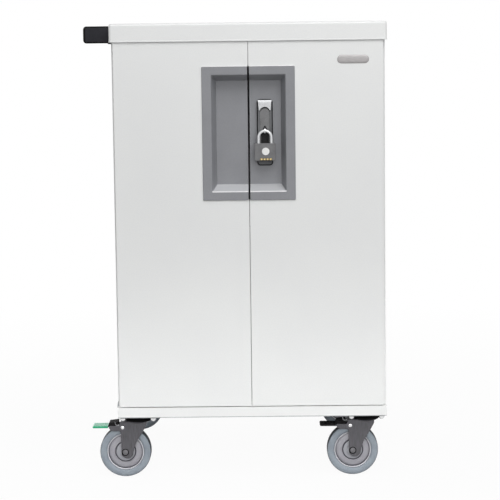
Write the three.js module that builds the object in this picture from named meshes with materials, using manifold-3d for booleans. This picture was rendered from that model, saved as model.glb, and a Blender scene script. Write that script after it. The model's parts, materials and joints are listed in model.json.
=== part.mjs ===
// Laptop charging cart: a white sheet-steel cabinet on four swivel casters.
// Two doors cover the device bay in front, one door covers the charging bay behind.
// Millimetres, +Z up, the doors face -Y. The origin lies on the floor, midway in width and depth.
import * as THREE from 'three';
import { mergeVertices } from 'three/addons/utils/BufferGeometryUtils.js';
import Module from 'manifold-3d';

// Cabinet shell
const cabinetWidth = 650;
const footprintDepth = 600;
const sheet = 2;
const seam = 0.3;
const panHeight = 25;
const panSheet = 2.5;
const frontLedge = 60;
const rearLedge = 25;
const sideFlange = 30;

// Lid and push handle
const lidHeight = 44;
const lidOverhang = 4;
const lidWall = 2;
const lidEdgeRadius = 6;
const lidCornerRadius = 7;
const handleReach = 68;
const handleHeight = 41;
const handleLength = 460;
const handleBar = 34;
const handleArm = 34;
const handleEdgeRadius = 8;
const handleDrop = 2;
const handleLip = 4;

// Doors and their pivot pins
const doorHeight = 874;
const doorThickness = 22;
const rearDoorThickness = 20;
const doorGap = 3;
const doorReveal = 5;
const doorSeatGap = 3.5;
const pinRadius = 4;
const pinHeadRadius = 5.5;
const pinHeadHeight = 4;
const pinPlay = 0.3;
const pinTip = 2;
const pinFromEdge = 8;
const pinFromFace = 8;

// Grey recess that is split over both doors
const bezelWidth = 221;
const bezelHeight = 319;
const bezelCentreBelowDoorTop = 215;
const bezelProud = 3;
const bezelWall = 3;
const bezelGap = 4.5;
const bezelCornerRadius = 6;
const bezelClearance = 1;
const recessWidth = 177;
const recessHeight = 279;
const recessSideDraft = 11;
const recessEndDraft = 15;
const recessCornerRadius = 7;

// Lever latch on the right half of the recess
const latchFromCentre = 38.5;
const latchWidth = 38;
const latchHeight = 159;
const latchPlate = 3;
const latchWall = 4;
const latchWallHeight = 10;
const latchEndRadius = 8;
const latchHeadHeight = 13;
const latchHeadDepth = 13;
const latchHeadTaper = 6;
const latchHeadBelowTop = 2;
const latchPlay = 1;
const leverWidth = 23;
const leverThickness = 9;
const leverBelowPin = 118;
const leverPinRadius = 3;
const leverLift = 45;
const tailLength = 22;
const tailWidth = 8;
const eyeThickness = 3.5;
const eyeReach = 19;
const eyeBelowPin = 46.3;
const eyeHoleRadius = 4;
const eyeRootHeight = 18;
const eyeTipRadius = 7.5;

// Lock rods and the rocker behind the recess
const rodWidth = 12;
const rodThickness = 4;
const rodStroke = 15;
const rodTip = 1.5;
const rodPlay = 0.6;
const rodGuideHeight = 4;
const rodGuideWall = 4;
const rodGuideInset = 16;
const rockerThickness = 4;
const rockerArm = 20;
const rockerBarWidth = 12;
const rockerHubRadius = 9;
const rockerStudRadius = 4;
const rockerBackGap = 6;
const pegRadius = 2.5;
const pegPlay = 0.7;
const dogHeight = 6;
const dogGap = 2.2;

// Four-dial padlock
const padlockWidth = 50;
const padlockHeight = 41;
const padlockThickness = 20;
const padlockSetback = 2;
const padlockCornerRadius = 4;
const padlockChamfer = 1.5;
const shackleWidth = 37;
const shackleRodRadius = 3.3;
const shackleRise = 33;
const shackleLongLeg = 22;
const shackleShortLeg = 8;
const shacklePlay = 0.4;
const dialCount = 4;
const dialRadius = 8.5;
const dialNotch = 0.7;
const dialNotches = 10;
const dialThickness = 5;
const dialPitch = 7.2;
const dialOffset = 2;
const dialShaftRadius = 2.5;
const dialPlay = 0.4;
const dialProud = 0.8;

// Device bay and charging bay
const rearBayDepth = 135;
const bayFrontInset = 70;
const shelfLip = 20;
const slotPitch = 48;
const finThickness = 3;
const finHeight = 180;
const rackPlate = 3;
const rackBackGap = 10;
const cableWindowWidth = 480;
const cableWindowHeight = 40;
const cableWindowAboveFloor = 205;
const stripLength = 540;
const stripHeight = 46;
const stripDepth = 42;
const stripAboveFloor = 120;
const timerWidth = 170;
const timerHeight = 110;
const timerDepth = 60;
const timerBelowTop = 60;
const boxEdgeRadius = 5;

// Mains entry in the sill under the rear door
const sillHeight = 88;
const inletWidth = 48;
const inletHeight = 32;
const inletFlange = 3;
const inletBodyWidth = 30;
const inletBodyHeight = 22;
const inletBodyDepth = 24;
const inletWall = 2.5;
const inletSocketDepth = 18;
const inletFromEnd = 85;
const switchFromInlet = 60;
const switchWidth = 18;
const switchHalfHeight = 11;
const switchCrown = 4;
const switchDepth = 6;
const switchTilt = 7;
const switchPlay = 0.5;
const rearLockFromFlange = 25;
const rearLockRadius = 9;
const rearLockFlangeRadius = 12;
const rearLockFlange = 3;
const rearCamReach = 30;
const rearCamWidth = 14;
const rearCamThickness = 3;

// Casters
const wheelRadius = 62.5;
const wheelWidth = 32;
const tyreShoulder = 5;
const hubRadius = 45;
const hubRimWidth = 28;
const hubRimWall = 5;
const hubWebWidth = 12;
const hubCoverRadius = 27;
const hubCoverWidth = 24;
const hubBossRadius = 13;
const axleRadius = 6;
const axleHeadRadius = 9.5;
const axleHeadHeight = 6;
const axlePlay = 0.3;
const trail = 33.5;
const casterHeight = 157;
const casterSideInset = 46.5;
const casterEndInset = 60;
const plateLength = 93;
const plateWidth = 84;
const plateThickness = 5;
const plateCornerRadius = 8;
const kingpinRadius = 7;
const raceRadius = 33;
const raceHeight = 10.5;
const forkWall = 3.5;
const forkSideGap = 3;
const forkEndRadius = 15.5;
const forkEndShift = 3.5;
const forkHeelReach = 19;
const forkHeelDepth = 14;
const forkNoseReach = 73;
const forkNoseDrop = 12.5;
const forkNoseDepth = 25;
const forkNoseSlope = 3;
const forkShank = 44;
const crownThickness = 10;
const crownFront = 45;
const pedalReach = 113.5;
const pedalWidth = 36;
const pedalArmWidth = 34;
const pedalTread = 38;
const pedalThickness = 5;
const pedalTip = 2;
const pedalTreadRise = 1.9;
const pedalHeel = 50;
const pedalTurn = 58;
const pedalPinDrop = 15.4;
const pedalPinRadius = 2.5;
const pedalArmFoot = 0.5;
const pedalArmSeat = 0.6;
const pedalArmRise = 9.5;
const pedalArmLean = 3;

// Facets
const arcSteps = 3;
const pinSides = 12;
const wheelSides = 24;

// Finishes: colour, roughness and metalness
const whitePaint = { color: 0xe4e5e4, roughness: 0.45, metalness: 0 };
const innerPaint = { color: 0xd6d7d7, roughness: 0.5, metalness: 0 };
const greyPlastic = { color: 0x86888c, roughness: 0.5, metalness: 0 };
const blackPlastic = { color: 0x38383c, roughness: 0.5, metalness: 0 };
const greenPlastic = { color: 0x1f9e6e, roughness: 0.45, metalness: 0 };
const zincSteel = { color: 0xb4b6b8, roughness: 0.35, metalness: 1 };
const chrome = { color: 0xd8dadc, roughness: 0.12, metalness: 1 };
const darkSteel = { color: 0x55565a, roughness: 0.45, metalness: 0.8 };
const brass = { color: 0xb08d4a, roughness: 0.35, metalness: 1 };
const tyreRubber = { color: 0x8c96a0, roughness: 0.7, metalness: 0 };
const hubPlastic = { color: 0x88868c, roughness: 0.5, metalness: 0 };

// Places that follow from the sizes
const halfWidth = cabinetWidth / 2;
const frontY = -footprintDepth / 2;
const backY = footprintDepth / 2;
const doorBackY = frontY + doorThickness;
const shellFrontY = doorBackY + doorSeatGap;
const rearDoorInnerY = backY - rearDoorThickness;
const shellBackY = rearDoorInnerY - doorSeatGap;
const panTop = casterHeight + panHeight;
const panFloor = casterHeight + panSheet;
const doorBottom = panTop + doorGap;
const doorTop = doorBottom + doorHeight;
const lidBottom = doorTop + doorGap;
const lidTop = lidBottom + lidHeight;
const doorOuterX = halfWidth - doorReveal;
const doorMeetX = doorGap / 2;
const pinX = doorOuterX - pinFromEdge;
const pinY = frontY + pinFromFace;
const rearPinY = backY - pinFromFace;
const bezelZ = doorTop - bezelCentreBelowDoorTop;
const bezelFrontY = frontY - bezelProud;
const recessDepth = latchPlate + leverThickness + padlockThickness + padlockSetback + 2 * latchPlay + seam;
const recessFloorY = bezelFrontY + recessDepth;
const recessBackY = recessFloorY + bezelWall;
const latchPlateY = recessFloorY - seam - latchPlate;
const leverBackY = latchPlateY - latchPlay;
const leverFrontY = leverBackY - leverThickness;
const leverPinY = (leverBackY + leverFrontY) / 2;
const leverTopRadius = Math.hypot(leverWidth / 2, leverThickness / 2);
const latchTop = bezelZ + latchHeight / 2;
const latchHeadTop = latchTop - latchHeadBelowTop;
const leverPinZ = latchHeadTop - latchHeadHeight - leverTopRadius - latchPlay;
const tailEndY = leverPinY + tailLength;
const liftAngle = THREE.MathUtils.degToRad(leverLift);
const windowDrop = (recessBackY - leverPinY) * Math.tan(liftAngle) + tailWidth / 2 / Math.cos(liftAngle);
const padlockY = leverFrontY - latchPlay - padlockThickness / 2;
const eyeZ = leverPinZ - eyeBelowPin;
const rockerFrontY = recessBackY + rockerBackGap;
const rockerBackY = rockerFrontY + rockerThickness;
const rodFrontY = rockerBackY + latchPlay;
const rodBackY = rodFrontY + rodThickness;
const upperRodX = latchFromCentre + rockerArm;
const lowerRodX = latchFromCentre - rockerArm;
const rodMidY = (rodFrontY + rodBackY) / 2;
const partitionY = rearDoorInnerY - rearBayDepth;
const bayFrontY = frontY + bayFrontInset;
const bayHalfWidth = halfWidth - panSheet - seam;
const betweenFlanges = 2 * (halfWidth - sideFlange);
const slotCount = Math.floor((betweenFlanges - finThickness) / slotPitch);
const shelfTop = (panFloor + lidBottom) / 2;
const sillBottom = panTop + seam;
const sillTop = sillBottom + sillHeight;
const rearDoorBottom = sillTop + doorGap;
const lidHalfWidth = halfWidth + lidOverhang;
const lidHalfDepth = footprintDepth / 2 + lidOverhang;

const wasm = await Module();
wasm.setup();

// Coordinates fall on a fine grid, so that faces meant to be flush are exactly flush
const stepsPerMillimetre = 1024;

function onGrid(value) {
  return Math.round(value * stepsPerMillimetre) / stepsPerMillimetre;
}

// Turns a closed three.js geometry into a solid, with its faces outwards
function solidFrom(geometry) {
  geometry.deleteAttribute('normal');
  geometry.deleteAttribute('uv');
  const merged = mergeVertices(geometry);
  const places = merged.getAttribute('position');
  const corners = Array.from(merged.index.array);
  const a = new THREE.Vector3();
  const b = new THREE.Vector3();
  const c = new THREE.Vector3();
  const kept = [];
  let volume = 0;
  for (let i = 0; i < corners.length; i += 3) {
    const [p, q, r] = corners.slice(i, i + 3);
    if (p === q || q === r || r === p) continue;
    a.fromBufferAttribute(places, p);
    b.fromBufferAttribute(places, q);
    c.fromBufferAttribute(places, r);
    volume += a.dot(b.clone().cross(c));
    kept.push([p, q, r]);
  }
  const outward = kept.map(([p, q, r]) => (volume < 0 ? [p, r, q] : [p, q, r]));
  const vertProperties = new Float32Array(places.array).map(onGrid);
  const triVerts = new Uint32Array(outward.flat());
  return new wasm.Manifold(new wasm.Mesh({ numProp: 3, vertProperties, triVerts }));
}

function block([x0, x1], [y0, y1], [z0, z1]) {
  const geometry = new THREE.BoxGeometry(x1 - x0, y1 - y0, z1 - z0);
  geometry.translate((x0 + x1) / 2, (y0 + y1) / 2, (z0 + z1) / 2);
  return solidFrom(geometry);
}

// A pair of limits around a middle
function around(middle, size) {
  return [middle - size / 2, middle + size / 2];
}

// A round bar along x, y or z; the centre gives the two other coordinates in x, y, z order
function bar(axis, radius, [start, end], [u, v], sides = pinSides) {
  const geometry = new THREE.CylinderGeometry(radius, radius, end - start, sides);
  const middle = (start + end) / 2;
  if (axis === 'x') geometry.rotateZ(Math.PI / 2).translate(middle, u, v);
  if (axis === 'y') geometry.translate(u, middle, v);
  if (axis === 'z') geometry.rotateX(Math.PI / 2).translate(u, v, middle);
  return solidFrom(geometry);
}

// An outline pushed along an axis: (y, z) along x, (x, z) along y, (x, y) along z
function prism(axis, outline, [start, end]) {
  const shape = Array.isArray(outline) ? new THREE.Shape(outline) : outline;
  const settings = { depth: end - start, bevelEnabled: false, curveSegments: arcSteps };
  const geometry = new THREE.ExtrudeGeometry(shape, settings);
  if (axis === 'x') geometry.rotateX(Math.PI / 2).rotateZ(Math.PI / 2).translate(start, 0, 0);
  if (axis === 'y') geometry.rotateX(Math.PI / 2).translate(0, end, 0);
  if (axis === 'z') geometry.translate(0, 0, start);
  return solidFrom(geometry);
}

function point(u, v) {
  return new THREE.Vector2(u, v);
}

function roundedOutline([u0, u1], [v0, v1], radius) {
  const shape = new THREE.Shape();
  shape.absarc(u1 - radius, v1 - radius, radius, 0, Math.PI / 2);
  shape.absarc(u0 + radius, v1 - radius, radius, Math.PI / 2, Math.PI);
  shape.absarc(u0 + radius, v0 + radius, radius, Math.PI, Math.PI * 1.5);
  shape.absarc(u1 - radius, v0 + radius, radius, Math.PI * 1.5, Math.PI * 2);
  return shape;
}

function roundedRing(halfU, halfV, radius) {
  return roundedOutline([-halfU, halfU], [-halfV, halfV], radius).getPoints(arcSteps);
}

// A closed skin through rings of equally many points, with a flat face at each end
function loft(rings) {
  const count = rings[0].length;
  const corners = [];
  for (let ring = 0; ring + 1 < rings.length; ring += 1) {
    for (let i = 0; i < count; i += 1) {
      const a = ring * count + i;
      const b = ring * count + ((i + 1) % count);
      corners.push(a, b, b + count, a, b + count, a + count);
    }
  }
  const last = (rings.length - 1) * count;
  for (let i = 1; i + 1 < count; i += 1) {
    corners.push(0, i + 1, i, last, last + i, last + i + 1);
  }
  const geometry = new THREE.BufferGeometry().setFromPoints(rings.flat());
  geometry.setIndex(corners);
  return solidFrom(geometry);
}

function joined(solids) {
  return solids.reduce((whole, next) => whole.add(next));
}

function cut(solid, cutters) {
  return cutters.reduce((rest, cutter) => rest.subtract(cutter), solid);
}

// Makes the named mesh of one piece and hangs it in its group
function addPiece(parent, name, solid, finish) {
  const { vertProperties, triVerts } = solid.getMesh();
  const geometry = new THREE.BufferGeometry();
  geometry.setAttribute('position', new THREE.BufferAttribute(vertProperties, 3));
  geometry.setIndex(new THREE.BufferAttribute(triVerts, 1));
  geometry.computeVertexNormals();
  const mesh = new THREE.Mesh(geometry, new THREE.MeshStandardMaterial(finish));
  mesh.name = name;
  parent.add(mesh);
}

// A closed block of the cabinet's whole footprint
function footprintBlock(zRange) {
  return block([-halfWidth, halfWidth], [frontY, backY], zRange);
}

// Open slot in which a lock rod's end would seat
function rodKeeper(rodX, zRange) {
  return block(around(rodX, rodWidth + 2 * rodPlay), around(rodMidY, rodThickness + 2 * rodPlay), zRange);
}

// Radius of a faceted hole whose flats clear the pin in it at any turn
function holeRadius(pin, play) {
  return (pin + play) / Math.cos(Math.PI / pinSides);
}

function pinHole(x, y, [z0, z1]) {
  return bar('z', holeRadius(pinRadius, pinPlay), [z0 - seam, z1 + seam], [x, y]);
}

// Base pan: floor, upstand and the ledges that the doors and the sill stand over
function basePan() {
  const innerX = [-halfWidth + panSheet, halfWidth - panSheet];
  const ledgeZ = [panTop - panSheet, panTop];
  const hollow = block(innerX, [frontY + panSheet, backY - panSheet], [panFloor, ledgeZ[0]]);
  const mouth = block(innerX, [frontY + frontLedge, backY - rearLedge], [ledgeZ[0] - seam, panTop + seam]);
  return cut(footprintBlock([casterHeight, panTop]), [
    hollow,
    mouth,
    pinHole(-pinX, pinY, ledgeZ),
    pinHole(pinX, pinY, ledgeZ),
    rodKeeper(lowerRodX, [ledgeZ[0] - seam, panTop + seam]),
  ]);
}

// Top panel: an upstanding tray that closes the cabinet and carries the lid
function topPanel() {
  const floorZ = [lidBottom, lidBottom + panSheet];
  const rimTop = lidTop - lidWall - seam;
  const hollow = block(
    [-halfWidth + panSheet, halfWidth - panSheet],
    [frontY + panSheet, backY - panSheet],
    [floorZ[1], rimTop + seam],
  );
  return cut(footprintBlock([lidBottom, rimTop]), [
    hollow,
    pinHole(-pinX, pinY, floorZ),
    pinHole(pinX, pinY, floorZ),
    pinHole(pinX, rearPinY, floorZ),
    rodKeeper(upperRodX, [floorZ[0] - seam, floorZ[1] + seam]),
  ]);
}

// Side panel: one sheet with a flange folded in at the front and at the back
function sidePanel(side) {
  const outer = side * halfWidth;
  const inner = side * (halfWidth - sheet);
  const flange = side * (halfWidth - sideFlange);
  const outline = [
    point(outer, shellFrontY),
    point(flange, shellFrontY),
    point(flange, shellFrontY + sheet),
    point(inner, shellFrontY + sheet),
    point(inner, shellBackY - sheet),
    point(flange, shellBackY - sheet),
    point(flange, shellBackY),
    point(outer, shellBackY),
  ];
  return prism('z', outline, [panTop + seam, lidBottom - seam]);
}

function lidRing(inset, z, radius) {
  const ring = roundedRing(lidHalfWidth - inset, lidHalfDepth - inset, radius);
  return ring.map((p) => new THREE.Vector3(p.x, p.y, z));
}

// Lid: a deep cover with a rounded upper edge, open below
function lid() {
  const rings = [lidRing(0, lidBottom, lidCornerRadius)];
  for (let step = 0; step <= arcSteps; step += 1) {
    const angle = (step / arcSteps) * (Math.PI / 2);
    const inset = lidEdgeRadius * (1 - Math.cos(angle));
    const z = lidTop - lidEdgeRadius + lidEdgeRadius * Math.sin(angle);
    rings.push(lidRing(inset, z, lidCornerRadius - inset));
  }
  const innerRadius = lidCornerRadius - lidWall;
  const hollow = loft([
    lidRing(lidWall, lidBottom - seam, innerRadius),
    lidRing(lidWall, lidTop - lidWall, innerRadius),
  ]);
  return loft(rings).subtract(hollow);
}

// Push handle: a grip bar held off the lid's left side by two arms, each with a lip under the lid
function pushHandle() {
  const rootX = -lidHalfWidth - seam;
  const outerX = -lidHalfWidth - handleReach;
  const bottom = lidBottom - handleDrop;
  const lengthY = around(0, handleLength);
  const heightZ = [bottom, bottom + handleHeight];
  const profile = roundedOutline([outerX, rootX + handleEdgeRadius], heightZ, handleEdgeRadius);
  const halfBar = block([outerX, rootX], lengthY, heightZ);
  const body = prism('y', profile, lengthY).intersect(halfBar);
  const gap = block(
    [outerX + handleBar, rootX + seam],
    around(0, handleLength - 2 * handleArm),
    [bottom - seam, bottom + handleHeight + seam],
  );
  const lips = [-1, 1].map((end) => {
    const middle = end * (handleLength - handleArm) / 2;
    const lipZ = [lidBottom - handleLip, lidBottom - seam];
    return block([rootX - handleEdgeRadius, -halfWidth - seam], around(middle, handleArm), lipZ);
  });
  return joined([body.subtract(gap), ...lips]);
}

// Shelf between the two device levels, with a lip folded down along its front
function shelf() {
  const wide = [-bayHalfWidth, bayHalfWidth];
  return joined([
    block(wide, [bayFrontY, partitionY - seam], [shelfTop - panSheet, shelfTop]),
    block(wide, [bayFrontY, bayFrontY + panSheet], [shelfTop - shelfLip, shelfTop]),
  ]);
}

// Partition between device bay and charging bay, with a cable window at each level
function partition() {
  const deep = [partitionY, partitionY + sheet];
  const whole = block([-bayHalfWidth, bayHalfWidth], deep, [panFloor + seam, lidBottom - seam]);
  const windows = [panFloor, shelfTop].map((floor) => {
    const z = around(floor + cableWindowAboveFloor, cableWindowHeight);
    return block(around(0, cableWindowWidth), [partitionY - seam, partitionY + sheet + seam], z);
  });
  return cut(whole, windows);
}

// Divider rack: a plate with upright fins that keeps the devices apart
function rack(floor) {
  const rackWidth = slotCount * slotPitch + finThickness;
  const deep = [bayFrontY + rackBackGap, partitionY - rackBackGap];
  const plateTop = floor + seam + rackPlate;
  const pieces = [block(around(0, rackWidth), deep, [floor + seam, plateTop])];
  for (let fin = 0; fin <= slotCount; fin += 1) {
    const x = (fin - slotCount / 2) * slotPitch;
    pieces.push(block(around(x, finThickness), deep, [floor + seam, plateTop + finHeight]));
  }
  return joined(pieces);
}

// A box with rounded long edges, screwed to the back of the partition
function wallBox(width, height, depth, bottom) {
  const y0 = partitionY + sheet + seam;
  const section = roundedOutline([y0, y0 + depth], [bottom, bottom + height], boxEdgeRadius);
  return prism('x', section, around(0, width));
}

// One sheet with all four edges folded back, open on its inner side
function foldedLeaf([x0, x1], [outerY, innerY], [z0, z1]) {
  const into = Math.sign(innerY - outerY);
  const leaf = block([x0, x1], [Math.min(outerY, innerY), Math.max(outerY, innerY)], [z0, z1]);
  const floorY = outerY + into * sheet;
  const openY = innerY + into * seam;
  const pocketY = [Math.min(floorY, openY), Math.max(floorY, openY)];
  return leaf.subtract(block([x0 + sheet, x1 - sheet], pocketY, [z0 + sheet, z1 - sheet]));
}

const sillMiddle = (sillBottom + sillTop) / 2;
const inletX = doorOuterX - inletFromEnd;
const switchX = inletX - switchFromInlet;
const switchPivotY = backY - switchDepth / 2;
const switchSwing = Math.hypot(switchHalfHeight, switchCrown);

// Sill under the rear door: a folded channel that carries the mains inlet and the switch
function powerSill() {
  const plate = [backY - sheet - seam, backY + seam];
  const inletHole = block(
    around(inletX, inletBodyWidth + 2 * seam),
    plate,
    around(sillMiddle, inletBodyHeight + 2 * seam),
  );
  const switchHole = block(
    around(switchX, switchWidth + 2 * switchPlay),
    plate,
    around(sillMiddle, 2 * (switchSwing + switchPlay)),
  );
  const channel = foldedLeaf([-doorOuterX, doorOuterX], [backY, shellBackY + seam], [sillBottom, sillTop]);
  return cut(channel, [inletHole, switchHole, pinHole(pinX, rearPinY, [sillTop - sheet, sillTop])]);
}

// Mains inlet: a flanged socket body, open to the back
function powerInlet() {
  const flange = block(
    around(inletX, inletWidth),
    [backY + seam, backY + seam + inletFlange],
    around(sillMiddle, inletHeight),
  );
  const body = block(
    around(inletX, inletBodyWidth),
    [backY - inletBodyDepth, backY + seam + inletFlange],
    around(sillMiddle, inletBodyHeight),
  );
  const socket = block(
    around(inletX, inletBodyWidth - 2 * inletWall),
    [backY - inletSocketDepth, backY + inletFlange + 2 * seam],
    around(sillMiddle, inletBodyHeight - 2 * inletWall),
  );
  return flange.add(body).subtract(socket);
}

// Rocker of the mains switch, at rest on its lower half
function rockerSwitch() {
  const tilt = THREE.MathUtils.degToRad(switchTilt);
  const outline = [
    point(switchCrown, -switchHalfHeight),
    point(switchCrown, switchHalfHeight),
    point(-switchDepth, switchHalfHeight / 2),
    point(-switchDepth, -switchHalfHeight / 2),
  ];
  const centre = point(0, 0);
  const tipped = outline.map((p) => p.rotateAround(centre, tilt).add(point(switchPivotY, sillMiddle)));
  return prism('x', tipped, around(switchX, switchWidth));
}

// Guide on the right door's back that a lock rod runs in
function rodGuide(rodX, z) {
  const frame = block(
    around(rodX, rodWidth + 2 * (rodPlay + rodGuideWall)),
    [frontY + sheet - seam, rodBackY + rodPlay + rodGuideWall],
    around(z, rodGuideHeight),
  );
  return frame.subtract(rodKeeper(rodX, around(z, rodGuideHeight + 2 * seam)));
}

// Front door with its cut-out for the recess; side is -1 on the left and 1 on the right
function frontDoor(side) {
  const wide = side < 0 ? [-doorOuterX, -doorMeetX] : [doorMeetX, doorOuterX];
  const recessX = recessWidth / 2 + bezelWall + bezelClearance;
  const cutOut = block(
    side < 0 ? [-recessX, 0] : [0, recessX],
    [frontY - seam, doorBackY + seam],
    around(bezelZ, recessHeight + 2 * (bezelWall + bezelClearance)),
  );
  const leaf = cut(foldedLeaf(wide, [frontY, doorBackY], [doorBottom, doorTop]), [
    cutOut,
    pinHole(side * pinX, pinY, [doorBottom, doorBottom + sheet]),
    pinHole(side * pinX, pinY, [doorTop - sheet, doorTop]),
  ]);
  if (side < 0) return leaf;
  const guides = [
    rodGuide(upperRodX, doorTop - rodGuideInset),
    rodGuide(lowerRodX, doorBottom + rodGuideInset),
  ];
  return joined([leaf, ...guides]);
}

// Pivot pin: its head lies inside the door, its tip stands in the pan or the top panel
function doorPin(side, atTop) {
  const centre = [side * pinX, pinY];
  const up = atTop ? 1 : -1;
  const edge = atTop ? doorTop : doorBottom;
  const headSeat = edge - up * (sheet + seam);
  const headEnd = headSeat - up * pinHeadHeight;
  const tip = edge + up * (doorGap + panSheet + pinTip);
  const inOrder = (p, q) => [Math.min(p, q), Math.max(p, q)];
  const head = bar('z', pinHeadRadius, inOrder(headSeat, headEnd), centre);
  return head.add(bar('z', pinRadius, inOrder(headEnd, tip), centre));
}

// Outline of the recess at a depth, drafted inwards; grow widens it by a wall
function recessRing(y, grow) {
  const share = (y - bezelFrontY) / recessDepth;
  const halfU = recessWidth / 2 + grow - recessSideDraft * share;
  const halfV = recessHeight / 2 + grow - recessEndDraft * share;
  return roundedRing(halfU, halfV, recessCornerRadius).map((p) => new THREE.Vector3(p.x, y, p.y + bezelZ));
}

// Half of the recess: a flange on the door's face and a drafted tub behind it
function bezelHalf(side) {
  const flangeOutline = roundedOutline(
    around(0, bezelWidth),
    around(bezelZ, bezelHeight),
    bezelCornerRadius,
  );
  const flange = prism('y', flangeOutline, [bezelFrontY, frontY - seam]);
  const tub = loft([recessRing(bezelFrontY + seam, bezelWall), recessRing(recessBackY, bezelWall)]);
  const hollow = loft([recessRing(bezelFrontY - seam, 0), recessRing(recessFloorY, 0)]);
  const reach = bezelWidth;
  const halfSpace = block(
    side < 0 ? [-reach, -bezelGap / 2] : [bezelGap / 2, reach],
    [bezelFrontY - seam, recessBackY + seam],
    around(bezelZ, bezelHeight + 2 * seam),
  );
  const half = flange.add(tub).subtract(hollow).intersect(halfSpace);
  if (side < 0) return half;
  const studY = [recessBackY - seam, rockerBackY + seam];
  const stud = bar('y', rockerStudRadius, studY, [latchFromCentre, bezelZ]);
  return half.subtract(leverWindow([recessFloorY - seam, recessBackY + seam])).add(stud);
}

// Window behind the lever's pin, which its tail and its upper end swing through
function leverWindow(yRange) {
  const zRange = [leverPinZ - windowDrop - latchPlay, leverPinZ + leverTopRadius + latchPlay];
  return block(around(latchFromCentre, leverWidth + 2 * latchPlay), yRange, zRange);
}

// Latch housing: a back plate, two walls that hold the lever's pin and a flared head
function latchHousing() {
  const wallX = (latchWidth - latchWall) / 2;
  const plateBack = recessFloorY - seam;
  const plateOutline = roundedOutline(
    around(latchFromCentre, latchWidth),
    around(bezelZ, latchHeight),
    latchEndRadius,
  );
  const plate = prism('y', plateOutline, [latchPlateY, plateBack]);
  const wallZ = [bezelZ - latchHeight / 2 + latchEndRadius, latchHeadTop - latchHeadHeight];
  const walls = [-1, 1].map((side) => block(
    around(latchFromCentre + side * wallX, latchWall),
    [latchPlateY - latchWallHeight, plateBack],
    wallZ,
  ));
  const headHalf = latchWidth / 2 - latchPlay;
  const headOutline = [
    point(latchFromCentre - headHalf, latchHeadTop),
    point(latchFromCentre - headHalf + latchHeadTaper, latchHeadTop - latchHeadHeight),
    point(latchFromCentre + headHalf - latchHeadTaper, latchHeadTop - latchHeadHeight),
    point(latchFromCentre + headHalf, latchHeadTop),
  ];
  const head = prism('y', headOutline, [latchPlateY - latchHeadDepth, plateBack]);
  const pinBore = bar(
    'x',
    holeRadius(leverPinRadius, pinPlay),
    around(latchFromCentre, latchWidth + 2 * seam),
    [leverPinY, leverPinZ],
  );
  const whole = joined([plate, ...walls, head]);
  return cut(whole, [leverWindow([latchPlateY - seam, plateBack + seam]), pinBore]);
}

// Lever: round-ended bar with its pin, the tail that draws the rods and the padlock's eye
function latchLever() {
  const half = leverWidth / 2;
  const outline = roundedOutline(
    around(latchFromCentre, leverWidth),
    [leverPinZ - leverBelowPin, leverPinZ + half],
    half - seam,
  );
  const eyeTipY = leverFrontY - eyeReach + eyeTipRadius;
  const eyeOutline = new THREE.Shape();
  eyeOutline.moveTo(leverFrontY + latchPlay, eyeZ - eyeRootHeight / 2);
  eyeOutline.lineTo(leverFrontY + latchPlay, eyeZ + eyeRootHeight / 2);
  eyeOutline.absarc(eyeTipY, eyeZ, eyeTipRadius, Math.PI / 2, Math.PI * 1.5);
  const eyeX = around(latchFromCentre, eyeThickness);
  const eyeHole = bar('x', eyeHoleRadius, around(latchFromCentre, 2 * eyeThickness), [padlockY, eyeZ]);
  const pinReach = around(latchFromCentre, latchWidth - 2 * seam);
  const pin = bar('x', leverPinRadius, pinReach, [leverPinY, leverPinZ]);
  const tail = block(
    around(latchFromCentre, tailWidth),
    [leverPinY, tailEndY],
    around(leverPinZ, tailWidth),
  );
  const eye = prism('x', eyeOutline, eyeX).subtract(eyeHole);
  return joined([prism('y', outline, [leverFrontY, leverBackY]), pin, tail, eye]);
}

const rockerTilt = Math.atan(rodStroke / 2 / rockerArm);

// Rocker: a bar with a forked end on each side, turning on the recess's stud
function latchRocker() {
  const length = 2 * (rockerArm / Math.cos(rockerTilt) + pegRadius + latchPlay);
  const slotFrom = rockerHubRadius + latchPlay;
  const arms = new THREE.BoxGeometry(length, rockerThickness, rockerBarWidth).rotateY(-rockerTilt);
  const middleY = (rockerFrontY + rockerBackY) / 2;
  const hub = bar('y', rockerHubRadius, [rockerFrontY, rockerBackY], [latchFromCentre, bezelZ]);
  const bore = bar(
    'y',
    holeRadius(rockerStudRadius, pinPlay),
    [rockerFrontY - seam, rockerBackY + seam],
    [latchFromCentre, bezelZ],
  );
  const slots = [-1, 1].map((side) => {
    const slot = new THREE.BoxGeometry(length, 2 * rockerThickness, 2 * (pegRadius + pegPlay));
    slot.translate(side * (slotFrom + length / 2), 0, 0).rotateY(-rockerTilt);
    return solidFrom(slot.translate(latchFromCentre, middleY, bezelZ));
  });
  const whole = solidFrom(arms.translate(latchFromCentre, middleY, bezelZ)).add(hub);
  return cut(whole, [bore, ...slots]);
}

// Lock rod: a flat bar with the peg that the rocker moves; up is 1 for the upper rod
function lockRod(up) {
  const rodX = up > 0 ? upperRodX : lowerRodX;
  const pegZ = bezelZ + up * rodStroke / 2;
  const tip = up > 0 ? doorTop + rodTip : doorBottom - rodTip;
  const root = pegZ - up * rodWidth / 2;
  const rod = block(
    around(rodX, rodWidth),
    [rodFrontY, rodBackY],
    [Math.min(root, tip), Math.max(root, tip)],
  );
  const peg = bar('y', pegRadius, [rockerFrontY, rodBackY], [rodX, pegZ]);
  if (up < 0) return rod.add(peg);
  const dogTop = leverPinZ - tailWidth / 2 - dogGap;
  const dog = block(
    [latchFromCentre - tailWidth / 2, rodX + rodWidth / 2],
    [recessBackY + latchPlay, rodBackY],
    [dogTop - dogHeight, dogTop],
  );
  return joined([rod, peg, dog]);
}

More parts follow.
